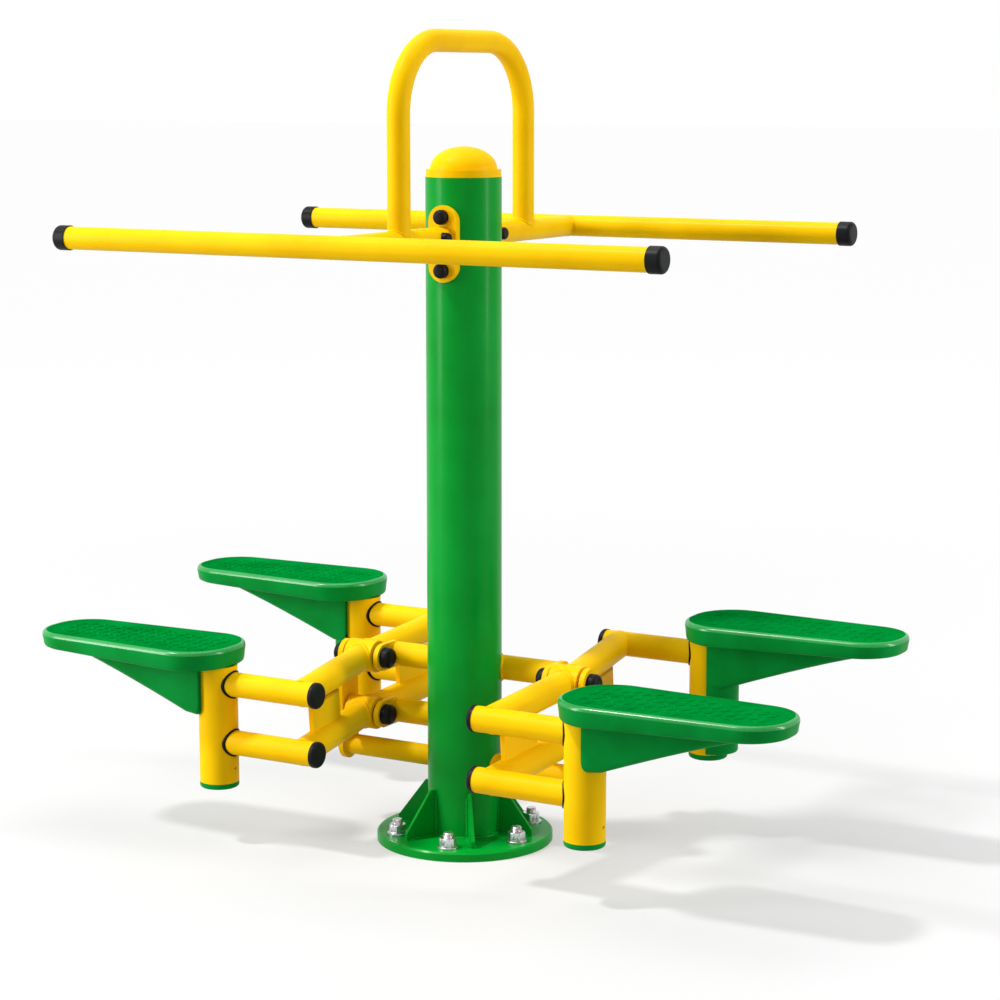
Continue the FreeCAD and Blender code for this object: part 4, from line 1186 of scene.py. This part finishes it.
@dataclass
class Studio:
    """White floor and surround, key light, softboxes and the camera."""

    focal_px: float = 2567.5
    sensor: float = 36.0
    clip_end: float = 200.0
    distance: float = 3.8553
    eye_height: float = 1.1567
    azimuth: float = math.radians(30.60)
    pitch: float = math.radians(9.2395)
    yaw: float = math.radians(0.8075)
    floor_half: float = 60.0
    floor_colour: str = "#A8A8A8"
    glow_span: Pair = (0.8, 4.0)
    glow_near: float = 0.42
    glow_far: float = 0.62
    sky_strength: float = 0.40
    sun_strength: float = 1.95
    sun_angle: float = math.radians(6)
    sun_from: Triple = (-0.55, -0.42, 1.15)
    lamps: tuple[Lamp, ...] = (
        Lamp("left_softbox", (-2.2, -2.0, 1.3), (0.0, 0.0, 0.6), 0.7, 2.0, 62.0),
        Lamp("right_softbox", (3.2, 0.9, 1.6), (0.0, 0.0, 0.7), 0.42, 2.4, 54.0),
        Lamp("top_softbox", (-0.3, 0.2, 3.2), (0.0, 0.0, 0.0), 2.2, 1.2, 26.0),
    )

    def add_camera(self) -> None:
        """Adds the camera at the photograph's view."""
        data = bpy.data.cameras.new("camera")
        data.sensor_width = self.sensor
        data.lens = self.focal_px * self.sensor / IMAGE_SIDE
        data.clip_end = self.clip_end
        camera = new_object("camera", data)
        sin_a, cos_a = math.sin(self.azimuth), math.cos(self.azimuth)
        ahead, aside = Vector((-sin_a, cos_a, 0)), Vector((cos_a, sin_a, 0))
        level = ahead * math.cos(self.yaw) + aside * math.sin(self.yaw)
        camera.location = (self.distance * sin_a, -self.distance * cos_a, self.eye_height)
        aim(camera, level * math.cos(self.pitch) - UP * math.sin(self.pitch))
        bpy.context.scene.camera = camera

    def seen_rays(self, tree: Tree) -> Socket:
        """Gives a socket that is 1 for rays that show a surface: from the camera, mirrored or through glass.

        Args:
            tree: The node tree.

        Returns:
            The socket, which is 0 for the rays that only carry light.
        """
        path = add_node(tree, "ShaderNodeLightPath")
        total = path.outputs["Is Camera Ray"]
        for name in ("Is Glossy Ray", "Is Transmission Ray"):
            links = {0: total, 1: path.outputs[name]}
            total = add_node(tree, "ShaderNodeMath", links, operation="ADD", use_clamp=True).outputs[0]
        return total

    def floor_material(self) -> bpy.types.Material:
        """Makes white paper: a pale glow keeps shadows soft and makes up for the light lost far away.

        Returns:
            The material.
        """
        material, tree = empty_material("white_paper")
        paper = add_node(tree, "ShaderNodeBsdfDiffuse", Color=linear(self.floor_colour))
        away = add_node(tree, "ShaderNodeVectorMath", {0: object_place(tree)}, operation="LENGTH")
        near, far = self.glow_span
        lift = add_node(
            tree, "ShaderNodeMapRange", {"Value": away.outputs["Value"]},
            From_Min=near, From_Max=far, To_Min=self.glow_near, To_Max=self.glow_far,
        )
        links = {0: lift.outputs[0], 1: self.seen_rays(tree)}
        seen = add_node(tree, "ShaderNodeMath", links, operation="MULTIPLY")
        glow = add_node(tree, "ShaderNodeEmission", {"Strength": seen.outputs[0]}, Color=linear(WHITE))
        both = add_node(tree, "ShaderNodeAddShader", {0: paper.outputs[0], 1: glow.outputs[0]})
        add_node(tree, "ShaderNodeOutputMaterial", {"Surface": both.outputs[0]})
        return material

    def add_floor(self) -> None:
        """Adds the wide white floor."""
        half = self.floor_half
        corners = ((-half, -half, 0), (half, -half, 0), (half, half, 0), (-half, half, 0))
        mesh = bmesh.new()
        mesh.faces.new([mesh.verts.new(corner) for corner in corners])
        floor = mesh_object("floor", mesh)
        floor.data.materials.append(self.floor_material())

    def add_surround(self) -> None:
        """Adds the white surround, which is seen brighter than it lights."""
        world = bpy.data.worlds.new("white_surround")
        bpy.context.scene.world = world
        world.use_nodes = True
        tree = world.node_tree
        tree.nodes.clear()
        strength = spread(tree, self.seen_rays(tree), (self.sky_strength, 1.0))
        sky = add_node(tree, "ShaderNodeBackground", {"Strength": strength}, Color=linear(WHITE))
        add_node(tree, "ShaderNodeOutputWorld", {"Surface": sky.outputs[0]})

    def add_lamps(self) -> None:
        """Adds the key light from the left and the softboxes."""
        data = bpy.data.lights.new("key", "SUN")
        data.energy = self.sun_strength
        data.angle = self.sun_angle
        aim(new_object("key", data), -Vector(self.sun_from))
        for lamp in self.lamps:
            box = bpy.data.lights.new(lamp.name, "AREA")
            box.shape = "RECTANGLE"
            box.size, box.size_y = lamp.width, lamp.height
            box.energy = lamp.watts
            obj = new_object(lamp.name, box)
            obj.location = lamp.place
            aim(obj, Vector(lamp.aim) - Vector(lamp.place))

    def build(self) -> None:
        """Sets up the whole studio."""
        bpy.context.scene.view_settings.view_transform = "Standard"
        self.add_camera()
        self.add_floor()
        self.add_surround()
        self.add_lamps()


def main() -> None:
    """Loads the frame, dresses its solids, builds the finer pieces and sets up the studio."""
    logging.basicConfig(level=logging.INFO, format="%(name)s: %(message)s")
    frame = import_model()
    shop = Workshop(frame)
    shop.dress_nodes()
    for side in Side:
        for end in End:
            Footplate(shop, side, end).build()
        RearShroud(shop, side).build()
    AnchorSet(shop).build()
    WeldSeams(shop).build()
    Studio().build()


if __name__ == "__main__":
    main()
